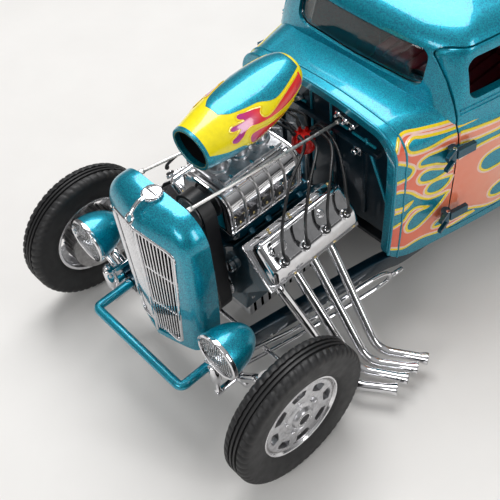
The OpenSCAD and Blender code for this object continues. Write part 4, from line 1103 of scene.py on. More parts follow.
def make_front_suspension():
    leaves, shocks, bolts = Shape(), Shape(), Shape()
    half_w, thick = leaf_w / 2, leaf_t
    for reach, z in ((19, 15.65), (15, 15.1), (11, 14.62), (7, 14.2)):
        section = [(-half_w, z), (half_w, z), (half_w, z + thick), (-half_w, z + thick)]
        leaves.add(*loft([[(u * reach, y, q - 1.9 * (u * reach / 19) ** 2) for y, q in section]
                          for u in np.linspace(-1, 1, 33)]))
    for x in (-4, 4):
        leaves.add(*box((x - 0.5, -1.35, 13.9), (x + 0.5, 1.35, 16.35), 0.15))
    shock_x, shock_y = 21, -7
    for s in (-1, 1):
        at = (s * shock_x, shock_y, 0)
        shocks.add(*revolve([(tip, 13.6), (0.8, 13.7), (0.95, 14.1), (0.6, 14.6), (0.6, 18.6), (1.3, 18.8),
                             (1.4, 19.1), (1.4, 24.9), (1.2, 25.2), (0.7, 25.4), (0.7, 26.6), (tip, 26.9)],
                            at, "z", 28))
        for x, y, z, bevel in (
                ((shock_x - 0.8, shock_x + 0.8), (shock_y - 0.9, -1.35), (12.6, 13.7), 0.25),
                ((bracket_x, bracket_x + bracket_t), (shock_y + 1, 0), (18.7, 26.1), 0.2),
                ((bracket_x, shock_x + 0.8), (shock_y - 0.9, shock_y + 1.3), (25.1, 26.1), 0.2)):
            x0, x1 = sorted((s * x[0], s * x[1]))
            shocks.add(*box((x0, y[0], z[0]), (x1, y[1], z[1]), bevel))
        for y, z in ((-1.5, 20), (-1.5, 24), (-4.5, 20), (-4.5, 24)):
            bolts.add(*hex_bolt((s * (bracket_x + bracket_t - 0.05), y, z), (s, 0, 0), 0.42, 0.3))
    piece("leaf_spring", leaves, chrome, ["front_suspension"])
    piece("shocks_and_brackets", shocks, chrome, angle=40)
    piece("bracket_bolts", bolts, chrome)


def make_radius_rods():
    rods = Shape()
    path = curve_through([(17, 2.1, beam_z + 2.6), (22.4, 22, beam_z + 2.6), (25.8, 44, beam_z + 3.6),
                          (27, 48.6, beam_z + 1.2), (25.8, 44, beam_z - 1.2), (22, 22, beam_z - 1.6),
                          (17, 2.1, beam_z - 2.6)], 8)
    rods.both(*tube(path, 0.64, 14))
    for z in (beam_z + 2.6, beam_z - 2.55):
        rods.both(*rod((17.0, 2.15, z), (17.5, 4.2, z), 0.95, 16, 0.2))
    rods.both(*rod((27.1, 49.1, beam_z + 1.2), (27.6, 52.9, beam_z + 1.2), 0.7, 16, 0.2))
    piece("hairpins", rods, chrome, ["radius_rods"], 50)


# ---------- tyres and wheels ----------

def tyre_profile(r, w, grooves):
    """Cross section of the tyre from its inner bead to its outer bead, treads included."""
    half, shoulder = w / 2, min(1.8, w / 4)
    side = [(rim_r + 0.05, 0.70), (rim_r + 0.5, 0.80), (rim_r + 1.1, 0.885), (rim_r + 1.6, 0.90),
            (rim_r + 1.9, 0.94), (mix(rim_r, r, 0.42), 0.985), (mix(rim_r, r, 0.6), 0.995),
            (r - shoulder - 0.5, 0.985), (r - shoulder, 0.995)]
    inner = [(a, -half * b) for a, b in side]
    corner = [(r - shoulder + shoulder * math.sin(a), -half + shoulder * (1 - math.cos(a)))
              for a in np.linspace(0.35, math.pi / 2, 6)]
    tread = []
    for c in grooves:
        tread += [(r, c - 0.32), (r - 0.55, c - 0.22), (r - 0.55, c + 0.22), (r, c + 0.32)]
    outer = [(a, -b) for a, b in (inner + corner)[::-1]]
    return inner + corner + tread + outer


def make_tyre(name, body, side, centre, r, w, grooves, lugs, hides):
    """A tyre with lugs cut into both shoulders; side is +1 on the car's left."""
    profile = np.array(tyre_profile(r, w, grooves))
    steps = lugs * 6
    angles = evenly(steps)
    shoulder = min(1.8, w / 4)
    notch = np.where((np.arange(steps) % 6) < 2, 1.0, 0.0)
    rings = []
    for rad, d in profile:
        edge = clamp01((abs(d) - (w / 2 - shoulder - 0.9)) / 0.5)
        edge *= clamp01((rad - (r - shoulder - 1.3)) / 0.5)
        lean = 0.035 * (abs(d) - w / 2 + shoulder) / shoulder * np.sign(d)
        radius = rad - 0.26 * notch * edge
        rings.append(np.column_stack([np.full(steps, side * d), radius * np.cos(angles + lean),
                                      radius * np.sin(angles + lean)]) + centre)
    verts, faces = loft(rings, False)
    faces += closing_faces(len(profile), steps)
    piece(name, (verts, faces), rubber, [hides], 38, body)


wheel_windows, window_half_arc, window_low_r, window_high_r = 8, 0.25, 7.2, 9.6
wheel_nuts, drum_fins, tyre_lugs = 5, 36, 56


def wheel_window(angle, depth0, depth1):
    """A bean-shaped cutter through the disc, following the rim."""
    corners = []
    for u in np.linspace(-1, 1, 9):
        corners.append((mix(window_high_r, window_high_r - 0.35, u * u), angle + window_half_arc * u))
    for u in np.linspace(1, -1, 9):
        corners.append((mix(window_low_r, window_low_r + 0.35, u * u), angle + 0.9 * window_half_arc * u))
    ring = [(r * math.cos(a), r * math.sin(a)) for r, a in corners]
    return loft([[(d, y, z) for y, z in ring] for d in (depth0, depth1)])


def make_wheel(name, body, side, centre, w, disc_x, hub_in, bore, hides, drum):
    """Rim barrel with a windowed disc, a hub with its nuts, and on the front a finned drum."""
    half = 0.72 * w / 2
    rim, disc, nuts, groove, cutters = (Shape() for _ in range(5))
    c = np.array(centre)
    out = np.array([side, 1, 1])

    def turn(profile, steps):
        verts, faces = revolve(profile, (0, 0, 0), "x", steps, True)
        return verts * out + c, faces

    lip = rim_r + 0.02
    rim.add(*turn([(lip, -half), (lip, half - 0.5), (lip + 0.02, half - 0.15), (lip - 0.2, half),
                   (rim_r - 0.5, half - 0.1), (rim_r - 0.75, half - 0.5), (rim_r - 0.85, disc_x + 1.2),
                   (rim_r - 1, disc_x + 0.4), (rim_r - 1, -half + 0.4), (rim_r - 0.7, -half)], 96))
    piece(name + "_rim", rim, bright, hides, 40, body)
    face = disc_x + 1.4
    disc.add(*turn([(bore, hub_in), (3, hub_in), (3, disc_x), (rim_r - 0.95, disc_x),
                    (rim_r - 0.95, face - 0.5), (rim_r - 1.25, face - 0.12), (rim_r - 1.9, face), (5.6, face),
                    (5.2, face - 0.35), (4.4, face - 0.35), (4.0, face), (3.1, face + 0.15),
                    (2.85, face + 0.9), (2.6, face + 1.15), (bore, face + 1.15)], 96))
    windowed = new_object(name + "_disc", disc.all_verts(), disc.faces, aluminium)
    for a in evenly(wheel_windows):
        verts, faces = wheel_window(a, disc_x - 1, face + 1)
        cutters.add(verts * out + c, faces)
    subtract(windowed, new_object("cutter", cutters.all_verts(), cutters.faces, aluminium))
    dress(windowed, body=body)
    for k in range(wheel_nuts):
        a = 2 * math.pi * (k + 0.25) / wheel_nuts
        at = c + np.array([side * (face - 0.4), 4.8 * math.cos(a), 4.8 * math.sin(a)])
        nuts.add(*hex_bolt(at, (side, 0, 0), 0.5, 0.75))
    nuts.add(*turn([(bore, face + 1.1), (1.9, face + 1.12), (2.0, face + 1.2), (bore, face + 1.2)], 32))
    piece(name + "_nuts", nuts, chrome, (), 40, body)
    groove.add(*turn([(rim_r - 0.86, half - 0.9), (rim_r - 0.9, half - 0.6), (rim_r - 1.1, half - 0.6),
                      (rim_r - 1.1, half - 0.9)], 72))
    piece(name + "_groove", groove, satin, (), 40, body)
    if not drum:
        return
    fins = Shape()
    back, front = kingpin_x + 4.65 - abs(centre[0]), 0.4
    fins.add(*turn([(3.05, back + 0.4), (6.9, back + 0.35), (7.4, back), (8.0, back), (8.0, front - 0.1),
                    (3.05, front - 0.1)], 72))
    verts, faces = box((back + 0.1, -0.13, 7.8), (front - 0.4, 0.13, 8.55), 0.05)
    v = np.asarray(verts)
    for a in evenly(drum_fins):
        y, z = math.cos(a), math.sin(a)
        spun = np.column_stack([v[:, 0], v[:, 1] * y - v[:, 2] * z, v[:, 1] * z + v[:, 2] * y])
        fins.add(spun * out + c, faces)
    piece(name + "_drum", fins, satin, (), 35, body)


def make_wheels():
    for side, word in ((1, "left"), (-1, "right")):
        wheels = (("front", (side * front_wheel_x, 0, front_tyre_r), front_tyre_r, front_tyre_w,
                   (-1.15, 0, 1.15), 0.8, -3.6, 1.56),
                  ("rear", (side * rear_wheel_x, rear_axle_y, rear_tyre_r), rear_tyre_r, rear_tyre_w,
                   (-4.2, -1.4, 1.4, 4.2), 2.4, 1 - rear_tyre_w / 2, 1.86))
        for end, at, r, w, grooves, *_ in wheels:
            make_tyre(f"{end}_{word}_tread", f"{word}_{end}_wheel", side, at, r, w, grooves, tyre_lugs,
                      f"{end}_{word}_tyre")
        for end, at, _, w, _, disc_x, hub_in, bore in wheels:
            make_wheel(f"{end}_{word}", f"{word}_{end}_wheel", side, at, w, disc_x, hub_in, bore,
                       [f"{end}_{word}_wheel"], end == "front")


make_axle()
make_front_suspension()
make_radius_rods()
make_wheels()


# ---------- engine ----------

head_y, head_len, block_y, block_len = 13, 30, 14, 28
flange_low, flange_high = np.array([20.3, 33.4]), np.array([11.05, 43.1])
across = unit(flange_low - flange_high)
outwards = np.array([-across[1], across[0]])
flange_half = np.linalg.norm(flange_low - flange_high) / 2
flange_mid = (flange_low + flange_high) / 2
head_h, bore_pitch = 6, 6.79
boot = (21.6, 42.4)
crank_z = 20


def boot_y(i):
    return head_y + head_len / 2 + (i - 1.5) * bore_pitch


def on_head(u, d):
    """Front-view point: u along the head's face from its middle, downwards and outwards, d off the face."""
    return flange_mid + u * across + d * outwards


def on_cover(u, y, d):
    x, z = on_head(u, d)
    return (x, y, z)


def make_block():
    deck_low, deck_high = on_head(flange_half, -head_h - 0.05), on_head(-flange_half, -head_h - 0.05)
    right = [tuple(deck_low), tuple(deck_high), (2.6, 35.4)]
    low = [(10, 23), (8.5, 15)]
    outline = right + [(-x, z) for x, z in right[::-1]] + [(-x, z) for x, z in low] + low[::-1]
    block, parts, pan = Shape(), Shape(), Shape()
    block.add(*outline_slab(outline, block_y, block_y + block_len, 0.3))
    piece("block_casting", block, shaded_teal, ["engine_block"])
    for i in range(4):
        y = boot_y(i)
        parts.both(*rod((10.4, y, 25.2), (11.0, y, 25.0), 1.25, 24, 0.15))
    for y in (16, 28, 40):
        parts.both(*hex_bolt((9.1, y, 19), (1, 0, -0.2), 0.55, 0.4))
    parts.add(*revolve([(r, block_y + d) for r, d in ((2.0, -0.6), (4.2, -0.6), (4.5, -0.2), (4.5, 0.1),
                                                      (2.0, 0.1))], (0, 0, crank_z), "y", 40))
    parts.both(*rod((5.4, block_y - 1.6, 31.2), (5.4, block_y + 0.1, 31.2), 1.7, 28, 0.25))
    piece("core_plugs", parts, chrome)
    pan.add(*box((-7, block_y + 2, 8), (7, block_y + block_len - 2, 14.9), 0.8))
    for y in np.arange(17.5, 40, 2.6):
        pan.both(*box((6.9, y, 8.8), (7.0, y + 0.9, 14.2), 0.02))
    piece("oil_pan", pan, chrome)


def make_heads():
    heads, bolts = Shape(), Shape()
    u = flange_half - 0.3
    outline = [on_head(*q) for q in ((u, -head_h), (u, -0.1), (-u, -0.1), (-u, -head_h))]
    heads.both(*outline_slab(outline, head_y + 0.4, head_y + head_len - 0.4, 0.25))
    piece("head_castings", heads, shaded_teal, ["cylinder_heads"])
    down = (across[0], 0, across[1])
    for i in range(5):
        y = boot_y(i - 0.5)
        for d in (-1.2, -4.9):
            bolts.both(*hex_bolt(on_cover(flange_half - 0.36, y, d), down, 0.5, 0.35))
    piece("head_bolts", bolts, chrome)


def make_covers():
    covers, raised, bolts = Shape(), Shape(), Shape()
    y0, y1 = head_y, head_y + head_len
    corners = [on_head(s * flange_half, d) for s, d in ((1, 0.02), (1, 0.8), (-1, 0.8), (-1, 0.02))]
    covers.both(*outline_slab(corners, y0 + 0.02, y1 - 0.02, 0.12))
    a, b = flange_half - 1, 1 - flange_half
    ends = list(y0 + 0.9 + 1.6 * (1 - np.cos(np.linspace(0.1, math.pi / 2, 7))))
    loops = []
    for y in ends + [y0 + y1 - y for y in ends[::-1]]:
        end = min(y - y0 - 0.8, y1 - 0.8 - y)
        k = math.sqrt(max(0.0, 1 - (1 - clamp01(end / 1.7)) ** 2))
        high = mix(0.75, 5.75, 0.55 + 0.45 * k) if end < 1.7 else 5.75
        inset = 0.9 * (1 - k)
        outline = rounded_polygon([(a - inset, 0.7), (a - inset, 3.1), (a - 3.4, high), (b + inset, high),
                                   (b + inset, 0.7)], [0.05, 1.0, 1.3, 1.1, 0.05], 7)
        loops.append([on_cover(u, y, d) for u, d in outline])
    covers.both(*loft(loops))
    piece("valve_cover_shells", covers, chrome, ["valve_covers"], 35)
    outline = [(y0 + 3.0, b + 1.0), (y1 - 3.0, b + 1.0), (y1 - 3.0, a - 4.3), (y0 + 3.0, a - 4.3)]
    panel = rounded_polygon(outline, [1.2] * 4, 6)
    raised.both(*loft([[on_cover(u, y, d) for y, u in panel] for d in (5.5, 5.98)]))
    for y, u, r, long in ((y0 + 5.2, b + 3.3, 1.35, 1.3), (boot_y(2) + 1.2, b + 3.0, 1.0, 0.0)):
        for d, grow in ((6.15, 1.0), (6.45, 0.72)):
            oval = [(y + grow * (r * math.cos(t) + math.copysign(long, math.cos(t))),
                     u + grow * r * math.sin(t)) for t in np.linspace(0, 2 * math.pi, 37)[:-1]]
            rise = [(5.7, 1.0), (d - 0.15, 1.0), (d, 0.93)]
            raised.both(*loft([[on_cover(u + (q - u) * k, y + (v - y) * k, h) for v, q in oval]
                               for h, k in rise]))
    piece("valve_cover_panels", raised, chrome, (), 35)
    for i in range(4):
        for u, d in ((flange_half - 0.5, 0.78), (-flange_half + 0.5, 0.78)):
            bolts.both(*hex_bolt(on_cover(u, boot_y(i) + 3.2, d), (outwards[0], 0, outwards[1]), 0.42, 0.4))
    piece("cover_bolts", bolts, brass)


def make_grommets():
    """The seals round the plug wires: a ring, a black seal and a core, each a short rod."""
    normal = np.array([0.6, 0, 0.8])
    for name, deep, shallow, r, sides, bevel, material, slot in (
            ("grommet_rings", 1.9, 0.6, 1.35, 28, 0.2, chrome, "chrome"),
            ("grommet_seals", 0.8, 0.25, 1.1, 28, 0.15, black, "black_plastic"),
            ("grommet_cores", 0.4, 0.02, 0.7, 24, 0.12, chrome, "chrome")):
        rods = Shape()
        for i in range(4):
            top = np.array([boot[0], boot_y(i), boot[1]])
            rods.both(*rod(top - deep * normal, top - shallow * normal, r, sides, bevel))
        piece(name, rods, material, (), 40)


def make_manifold():
    body = Shape()
    right = [(2.4, 35.5), (6, 39.2), (8.4, 42), (8.4, 44.5)]
    outline = right + [(-x, z) for x, z in right[::-1]]
    body.add(*outline_slab(outline, head_y + 2.5, head_y + head_len - 5, 0.25))
    for i in range(4):
        y = head_y + 5.6 + 5.4 * i
        body.both(*tube([(8.3, y, 42.6), (8.8, y, 42.4), (9.2, y, 42.0)], 1.0, 14))
    piece("manifold_casting", body, shaded_teal, ["intake_manifold"])


blower_half_w, blower_z, blower_h, blower_len = 8.4, 44.6, 11.5, 23.5
injector_z = blower_z + blower_h


def blower_outline(grow):
    w, z0, z1 = blower_half_w + grow, blower_z + 0.05, injector_z - 0.02 + grow
    return rounded_polygon([(w, z0), (w, z1), (-w, z1), (-w, z0)], [0.3, 4.9, 4.9, 0.3], 9)


def blower_slab(y, steps):
    """A slab of the blower's outline along y; each step is (distance from y, growth)."""
    return loft([[(x, y + d, z) for x, z in blower_outline(grow)] for d, grow in steps])


def make_blower():
    case, ribs, plates, bolts, recess_shade_panels = (Shape() for _ in range(5))
    y0, y1 = head_y, head_y + blower_len
    case.add(*blower_slab(0, ((y0 + 0.02, -0.6), (y0 + 0.25, -0.42), (y1 - 0.25, -0.42), (y1 - 0.02, -0.6))))
    piece("blower_case", case, chrome, ["blower"], 35)
    pitch = (blower_len - 2.4) / 5
    for k in range(6):
        y = y0 + 1.2 + pitch * k
        ribs.add(*blower_slab(y, ((-0.32, -0.44), (-0.2, -0.05), (0.2, -0.05), (0.32, -0.44))))
        if k < 5:
            low = (blower_half_w - 0.6, y + 0.8, blower_z + 1.5)
            # Black panels between the ribs: painted shade in the blower's side recesses.
            recess_shade_panels.both(*box(low, (blower_half_w - 0.34, y + pitch - 0.8, blower_z + 4.4), 0.12))
            middle = (blower_half_w - 0.36, y + 0.5 * pitch, blower_z + 2.4)
            bolts.both(*hex_bolt(middle, (1, 0, 0), 0.42, 0.3))
    piece("blower_ribs", ribs, satin, angle=35)
    piece("blower_recess_painted_shade", recess_shade_panels, black)
    for y, out in ((y0, 1), (y1, -1)):
        plates.add(*blower_slab(y, [(out * d, g) for d, g in
                                    ((0.03, -0.35), (0.25, -0.01), (0.7, -0.01), (0.85, -0.3))]))
    flange = (blower_half_w + 0.38, y1 - 0.02, blower_z + 1.05)
    plates.add(*box((-blower_half_w - 0.38, y0 + 0.02, blower_z + 0.02), flange, 0.2))
    piece("blower_plates", plates, chrome, angle=35)
    for a in np.linspace(0.25, math.pi - 0.25, 6):
        bolts.add(*hex_bolt((6.3 * math.cos(a), y1 - 0.05, 50.6 + 4.2 * math.sin(a)), (0, 1, 0), 0.38, 0.04))
    piece("blower_bolts", bolts, brass)


def pulley(z, r, teeth, y0, y1):
    """A toothed pulley turned about the engine's length."""
    steps = teeth * 4
    k, a = np.arange(steps) % 4, evenly(steps)
    rings = []
    for y, deep, rad in ((y0, 0, r - 0.9), (y0, 0, r), (y0 + 0.35, 0, r), (y0 + 0.4, 1, r - 0.25),
                         (y1 - 0.4, 1, r - 0.25), (y1 - 0.35, 0, r), (y1, 0, r), (y1, 0, r - 0.9)):
        radius = rad - 0.3 * deep * (k < 2)
        rings.append(np.column_stack([radius * np.cos(a), np.full(steps, y), z + radius * np.sin(a)]))
    return loft(rings)


def make_drive():
    z_high, z_low = blower_z + blower_h / 2, crank_z
    y0, y1 = 7.9, 12.3
    metal, belt = Shape(), Shape()
    for z, r, teeth in ((z_high, 4.3, 30), (z_low, 4.9, 34)):
        metal.add(*pulley(z, r, teeth, y0 + 0.05, y1 - 0.05))
        metal.add(*revolve([(tip, y0 + 0.02), (1.4, y0 + 0.02), (1.7, y0 + 0.35), (tip, y0 + 0.4)],
                           (0, 0, z), "y", 32))
    metal.add(*rod((0, y1 - 0.1, z_high), (0, y1 + 0.6, z_high), 1.2, 24))
    metal.add(*rod((0, y1 - 0.1, z_low), (0, block_y - 0.08, z_low), 1.8, 24))
    piece("drive_pulleys", metal, aluminium, ["blower_drive"], 35)

    def loop(grow):
        a = math.asin(0.6 / (z_high - z_low))
        return [(r * math.cos(t), z + r * math.sin(t)) for r, z, start, end in
                ((4.4 + grow, z_high, -a, math.pi + a), (5 + grow, z_low, math.pi + a, 2 * math.pi - a))
                for t in np.linspace(start, end, 40)]

    outer, inner = loop(0.78), loop(0.06)
    front, back = y0 + 0.3, y1 - 0.3
    rings = [[(x, y, z) for x, z in path] for path, y in ((inner, front), (outer, front), (outer, back),
                                                          (inner, back), (inner, front))]
    belt.add(*loft(rings, False))
    piece("drive_belt", belt, black, angle=35)


scoop_y, scoop_len, mouth_z = 11.4, 31, 68.8


def scoop_a(y):
    u = (y - scoop_y) / scoop_len
    if u < 0.45:
        return mix(6, 8.2, math.sin(math.radians(200 * u)))
    return mix(3.4, 8.2, super_arc((u - 0.45) / 0.55, 2))


def scoop_b(y):
    u = (y - scoop_y) / scoop_len
    if u < 0.35:
        return mix(5, 6.4, math.sin(math.radians(257 * u)))
    return mix(2.6, 6.4, super_arc((u - 0.35) / 0.65, 2))


def scoop_c(y):
    return mouth_z + 0.06 * (y - scoop_y) + 2.5 * ((y - scoop_y) / scoop_len) ** 2


def scoop_point(y, angle, off=0.0):
    """Point on the scoop's skin; angle is measured from its left side upwards."""
    y = min(max(y, scoop_y), scoop_y + scoop_len)
    return ((scoop_a(y) + off) * math.cos(angle), y, scoop_c(y) + (scoop_b(y) + off) * math.sin(angle))


def scoop_solid(name, t, y0, y1, material, steps=72):
    stations = y0 + (y1 - y0) * (np.linspace(0, 1, 50) if t else np.sin(np.linspace(0, math.pi / 2, 50)))
    rings = [[scoop_point(y, a, -t - 0.02) for a in evenly(steps)] for y in stations]
    for ring, y in zip(rings, stations):
        if y < scoop_y:
            for k, p in enumerate(ring):
                ring[k] = (p[0], y, p[2])
    return new_object(name, *loft(rings), material)


def make_scoop():
    solid = scoop_solid("scoop_shell", 0, scoop_y, scoop_y + scoop_len, scoop_yellow)
    subtract(solid, scoop_solid("scoop_bore", 0.7, scoop_y - 0.5, scoop_y + 0.74 * scoop_len, scoop_yellow))
    dress(solid, ["scoop"], 40)
    rim, bore_shade = Shape(), Shape()
    loop = [scoop_point(scoop_y, 2 * math.pi * k / 72, -0.38) for k in range(73)]
    rim.add(*tube([(x, scoop_y + 0.34, z) for x, y, z in loop], 0.33, 10))
    mouth = [[(x, scoop_y + d, z) for x, _, z in (scoop_point(scoop_y + d, a, off) for a in evenly(72))]
             for d, off in ((0.6, 0.03), (0.06, 0.03), (-0.02, -0.06), (-0.02, -0.66), (0.08, -0.76),
                            (1.6, -0.78))]
    rim.add(*loft(mouth + [mouth[0]], False))
    piece("scoop_rim", rim, teal)
    # A black sheet just inside the scoop's bore: painted shade for its dark mouth.
    rings = [[scoop_point(y, a, -0.75) for a in evenly(48)] for y in
             np.linspace(scoop_y + 1.2, scoop_y + 0.73 * scoop_len, 20)]
    bore_shade.add(*loft(rings, False))
    piece("scoop_liner", bore_shade, black)


unroll = 8.0  # millimetres of the unrolled sheet for each radian round the scoop

# The scoop's paintwork as (station, angle) points of its left side; marked points are sharp
drip_outline = [
    (40.5, 0.62, 1), (36, 0.52), (32.5, 0.42), (30, 0.33), (28.2, 0.31), (26.9, 0.4), (26.7, 0.56),
    (27.6, 0.68, 1), (25.6, 0.8), (23.6, 0.88), (22.0, 0.95), (21.1, 0.88), (21.4, 0.76), (22.4, 0.68, 1),
    (20.6, 0.72), (19.2, 0.74), (18.4, 0.66), (18.9, 0.55), (20.6, 0.5, 1), (19.2, 0.42), (17.9, 0.36),
    (17.7, 0.22), (18.9, 0.12), (20.6, 0.2), (21.8, 0.32), (23.2, 0.36), (25.2, 0.26), (28.5, 0.13),
    (33, 0.0), (40.5, -0.1, 1)]
drop_outline = [
    (22.0, 0.02), (22.9, 0.16), (25.2, 0.12), (28, -0.02), (32, -0.16), (37, -0.32, 1), (31, -0.5),
    (26.4, -0.5), (23.6, -0.44), (22.2, -0.22, 1)]
top_patch = [(18.7, 1.3, 1), (20.6, 1.1), (22.8, 1.0), (25.2, 0.92), (27.6, 0.84), (30.5, 0.62), (33.5, 0.58),
             (41.2, 0.78, 1)]
low_patch = [(11.5, 0.3, 1), (14, 0.12), (17, -0.04), (20.4, -0.14), (22.4, -0.42), (26, -0.64), (32, -0.64),
             (41.2, -0.5, 1)]


def drop_edge(points, per=7):
    """Unrolled (station, place) outline of a patch, each point's angle made millimetres."""
    return flowing([(q[0], q[1] * unroll, *q[2:]) for q in points], per)


def scoop_paint(name, outline, lift, material):
    """A thin coat on the scoop's skin inside an unrolled outline."""
    low = min(q[1] for q in outline) - 1
    high = max(q[1] for q in outline) + 1
    around = np.linspace(low, high, max(8, int((high - low) / 0.45)))
    section = [(a, -0.2) for a in around] + [(a, 1.0) for a in around[::-1]]
    stations = np.linspace(scoop_y + 0.02, scoop_y + scoop_len - 0.1, 90)
    sheet = new_object(name, *loft([[(a, y, d) for a, d in section] for y in stations]), material)
    rings = [[(a, y, d) for y, a in outline] for d in (-2.0, 2.0)]
    keep_common(sheet, new_object(name + "_edge", *loft(rings), material))
    for v in sheet.data.vertices:
        a, y, d = np.array(v.co) / MM - [0, front_axle_y, 0]
        v.co = Vector(place([scoop_point(y, a / unroll, lift if d > 0 else -0.08)])[0])
    face_outwards(sheet.data)
    return sheet


def mirrored(outline):
    """The same unrolled outline on the scoop's right side."""
    return [np.array([y, math.pi * unroll - a]) for y, a in outline]


def make_drips():
    """Teal top and underside, and red drips that run forwards, all edged in yellow."""
    drips, drop = drop_edge(drip_outline), drop_edge(drop_outline)
    top, low = drop_edge(top_patch), drop_edge(low_patch)
    crown = top + mirrored(top)[::-1]
    under = low + [np.array([y, -math.pi * unroll - a]) for y, a in low[::-1]]
    around = [unroll * a for a in np.linspace(-math.pi, math.pi, 60)]
    lip = [(11.45, a) for a in around] + [(12.15, a) for a in around[::-1]]
    for name, outline, lift in (("crown", crown, 0.025), ("underside", under, 0.02), ("lip", lip, 0.03)):
        dress(scoop_paint("scoop_" + name, outline, lift, teal), angle=60)
    lines = Shape()
    for k, outline in enumerate((drips, drop)):
        for word, loop in (("left", outline), ("right", mirrored(outline))):
            thing = scoop_paint(f"scoop_drip_{k}_{word}", loop, 0.045, drip_fill)
            dress(thing, angle=60)
            path = [q for q in in_steps(loop, 0.35) if q[0] < 40.4]
            points = np.array([scoop_point(y, a / unroll, 0.05) for y, a in path])
            normals = points - [(0, y, scoop_c(y)) for y, a in path]
            normals /= np.linalg.norm(normals, axis=1)[:, None]
            lines.add(*stripe(points, normals, 0.5, 0.06))
    piece("scoop_drip_lines", lines, yellow, angle=50)


def make_injector():
    metal, arms = Shape(), Shape()
    z0 = injector_z + 0.08
    metal.add(*box((-5.6, head_y + 2, z0), (5.6, head_y + blower_len - 2, z0 + 0.9), 0.15))
    metal.add(*box((-4.9, head_y + 2.7, z0 + 0.8), (4.9, head_y + blower_len - 2.7, injector_z + 2.35), 0.3))
    for y in (head_y + 5, head_y + 11.5, head_y + 18):
        top = min(scoop_c(v) - scoop_b(v) for v in (y - 2.6, y + 2.6)) - 0.16
        metal.add(*revolve([(tip, injector_z + 2.2), (2.6, injector_z + 2.3), (2.6, injector_z + 2.8),
                            (2.1, injector_z + 3.1), (2.1, top - 0.9), (2.4, top - 0.5), (2.6, top - 0.05),
                            (tip, top)], (0, y, 0), "z", 32))
        for s in (-1, 1):
            arms.add(*rod((s * 4.4, y, injector_z + 2.3), (s * 4.4, y, injector_z + 2.38), 0.7, 16, 0.05))
    for s in (-1, 1):
        front, back = head_y + 3, head_y + blower_len - 3
        arms.add(*rod((s * 5.2, front, z0 + 1.5), (s * 5.2, back, z0 + 1.5), 0.3, 12, 0.1))
        for i in range(4):
            y = head_y + 4.4 + 4.9 * i
            arms.add(*rod((s * 4.8, y, z0 + 1.5), (s * 5.55, y, z0 + 1.5), 0.45, 12, 0.08))
    piece("injector_casting", metal, aluminium, ["injector"], 35)
    piece("injector_rails", arms, chrome)


cap_y, cap_top_z, tower_h = head_y + head_len + 2.1, 49.2, 1.4
wire_r = 0.39


def tower(k):
    a = math.radians(22.5 + 45 * k)
    return (2.3 * math.cos(a), cap_y + 2.3 * math.sin(a), cap_top_z + tower_h)


def make_distributor():
    stem, cap, towers = Shape(), Shape(), Shape()
    stem.add(*revolve([(tip, 33), (1.9, 33), (1.9, 34), (1.5, 34.4), (1.5, 44), (1.9, 45.5), (tip, 45.55)],
                      (0, cap_y, 0), "z", 32))
    steps = 96
    a = evenly(steps)
    scallop = 0.5 + 0.5 * np.cos(16 * a)
    rings = []
    for r, z in ((0.5, 45.6), (2.95, 45.6), (3.08, 45.8), (3.08, 46.6), (2.9, 46.8), (2.9, 47.1),
                 (3.05, 47.3), (3.0, 48.4), (2.85, 48.9), (2.5, 49.18), (0.5, 49.19)):
        radius = r - 0.22 * scallop * (1 if 47 < z < 49 else 0)
        rings.append(np.column_stack([radius * np.cos(a), cap_y + radius * np.sin(a), np.full(steps, z)]))
    cap.add(*loft(rings))
    for k in range(8):
        x, y, z = tower(k)
        towers.add(*revolve([(tip, cap_top_z - 0.1), (0.55, cap_top_z - 0.1), (0.55, cap_top_z + 0.5),
                             (0.42, cap_top_z + 0.7), (0.42, z - 0.2), (tip, z - 0.19)], (x, y, 0), "z", 16))
    piece("distributor_stem", stem, chrome, ["distributor"])
    piece("distributor_cap", cap, red, angle=35)
    piece("distributor_towers", towers, red, angle=40)


wire_routes = [
    [tower(6), (2.2, 42, 52.6), (7.4, 38.4, 54.6), (13, 28, 53.4), (18, 20.6, 49.6), (21, 17.6, 45.6),
     (22.2, 17.8, 43.2)],
    [tower(7), (4, 43.4, 52.4), (9, 41, 53.6), (14.6, 33, 52), (19, 27, 48.6), (21.4, 24.6, 45.4),
     (22.2, 24.6, 43.2)],
    [tower(0), (4.2, 46.4, 52.4), (10, 45, 52.4), (15.6, 38.8, 50.6), (19.6, 33.6, 47.8), (21.6, 31.6, 45.2),
     (22.2, 31.4, 43.2)],
    [tower(1), (3, 48.4, 52.4), (10, 46.6, 51.4), (16.6, 42.4, 48.8), (20, 39.6, 46.8), (21.8, 38.4, 44.8),
     (22.2, 38.2, 43.2)]]


def make_wires():
    wires, boots = Shape(), Shape()
    for route in wire_routes:
        path = curve_through(route, 8)
        wires.both(*tube(path, wire_r, 12))
        for end, way in ((path[0], path[1] - path[0]), (path[-1], path[-2] - path[-1])):
            way = unit(way)
            stations = [end - 0.1 * way] + [end + d * way for d in (0.5, 1.1, 1.5)]
            boots.both(*tube(stations, [0.58, 0.6, 0.52, 0.4], 14))
    piece("wire_leads", wires, wire_black, ["plug_wires"], 60)
    piece("wire_boots", boots, black, angle=40)


pipe_r = 1.25
pipe_low = [(30.2, 22.4, 6.2), (37.6, 24.6, 6), (38, 28.2, 6), (37.6, 32.6, 6)]
pipe_end = [(48.9, 27.2, 6), (48.8, 31.4, 6), (48.5, 35.5, 6), (48.5, 39.4, 6)]
port = on_head(flange_half + 0.05 - 0.3, -head_h / 2)


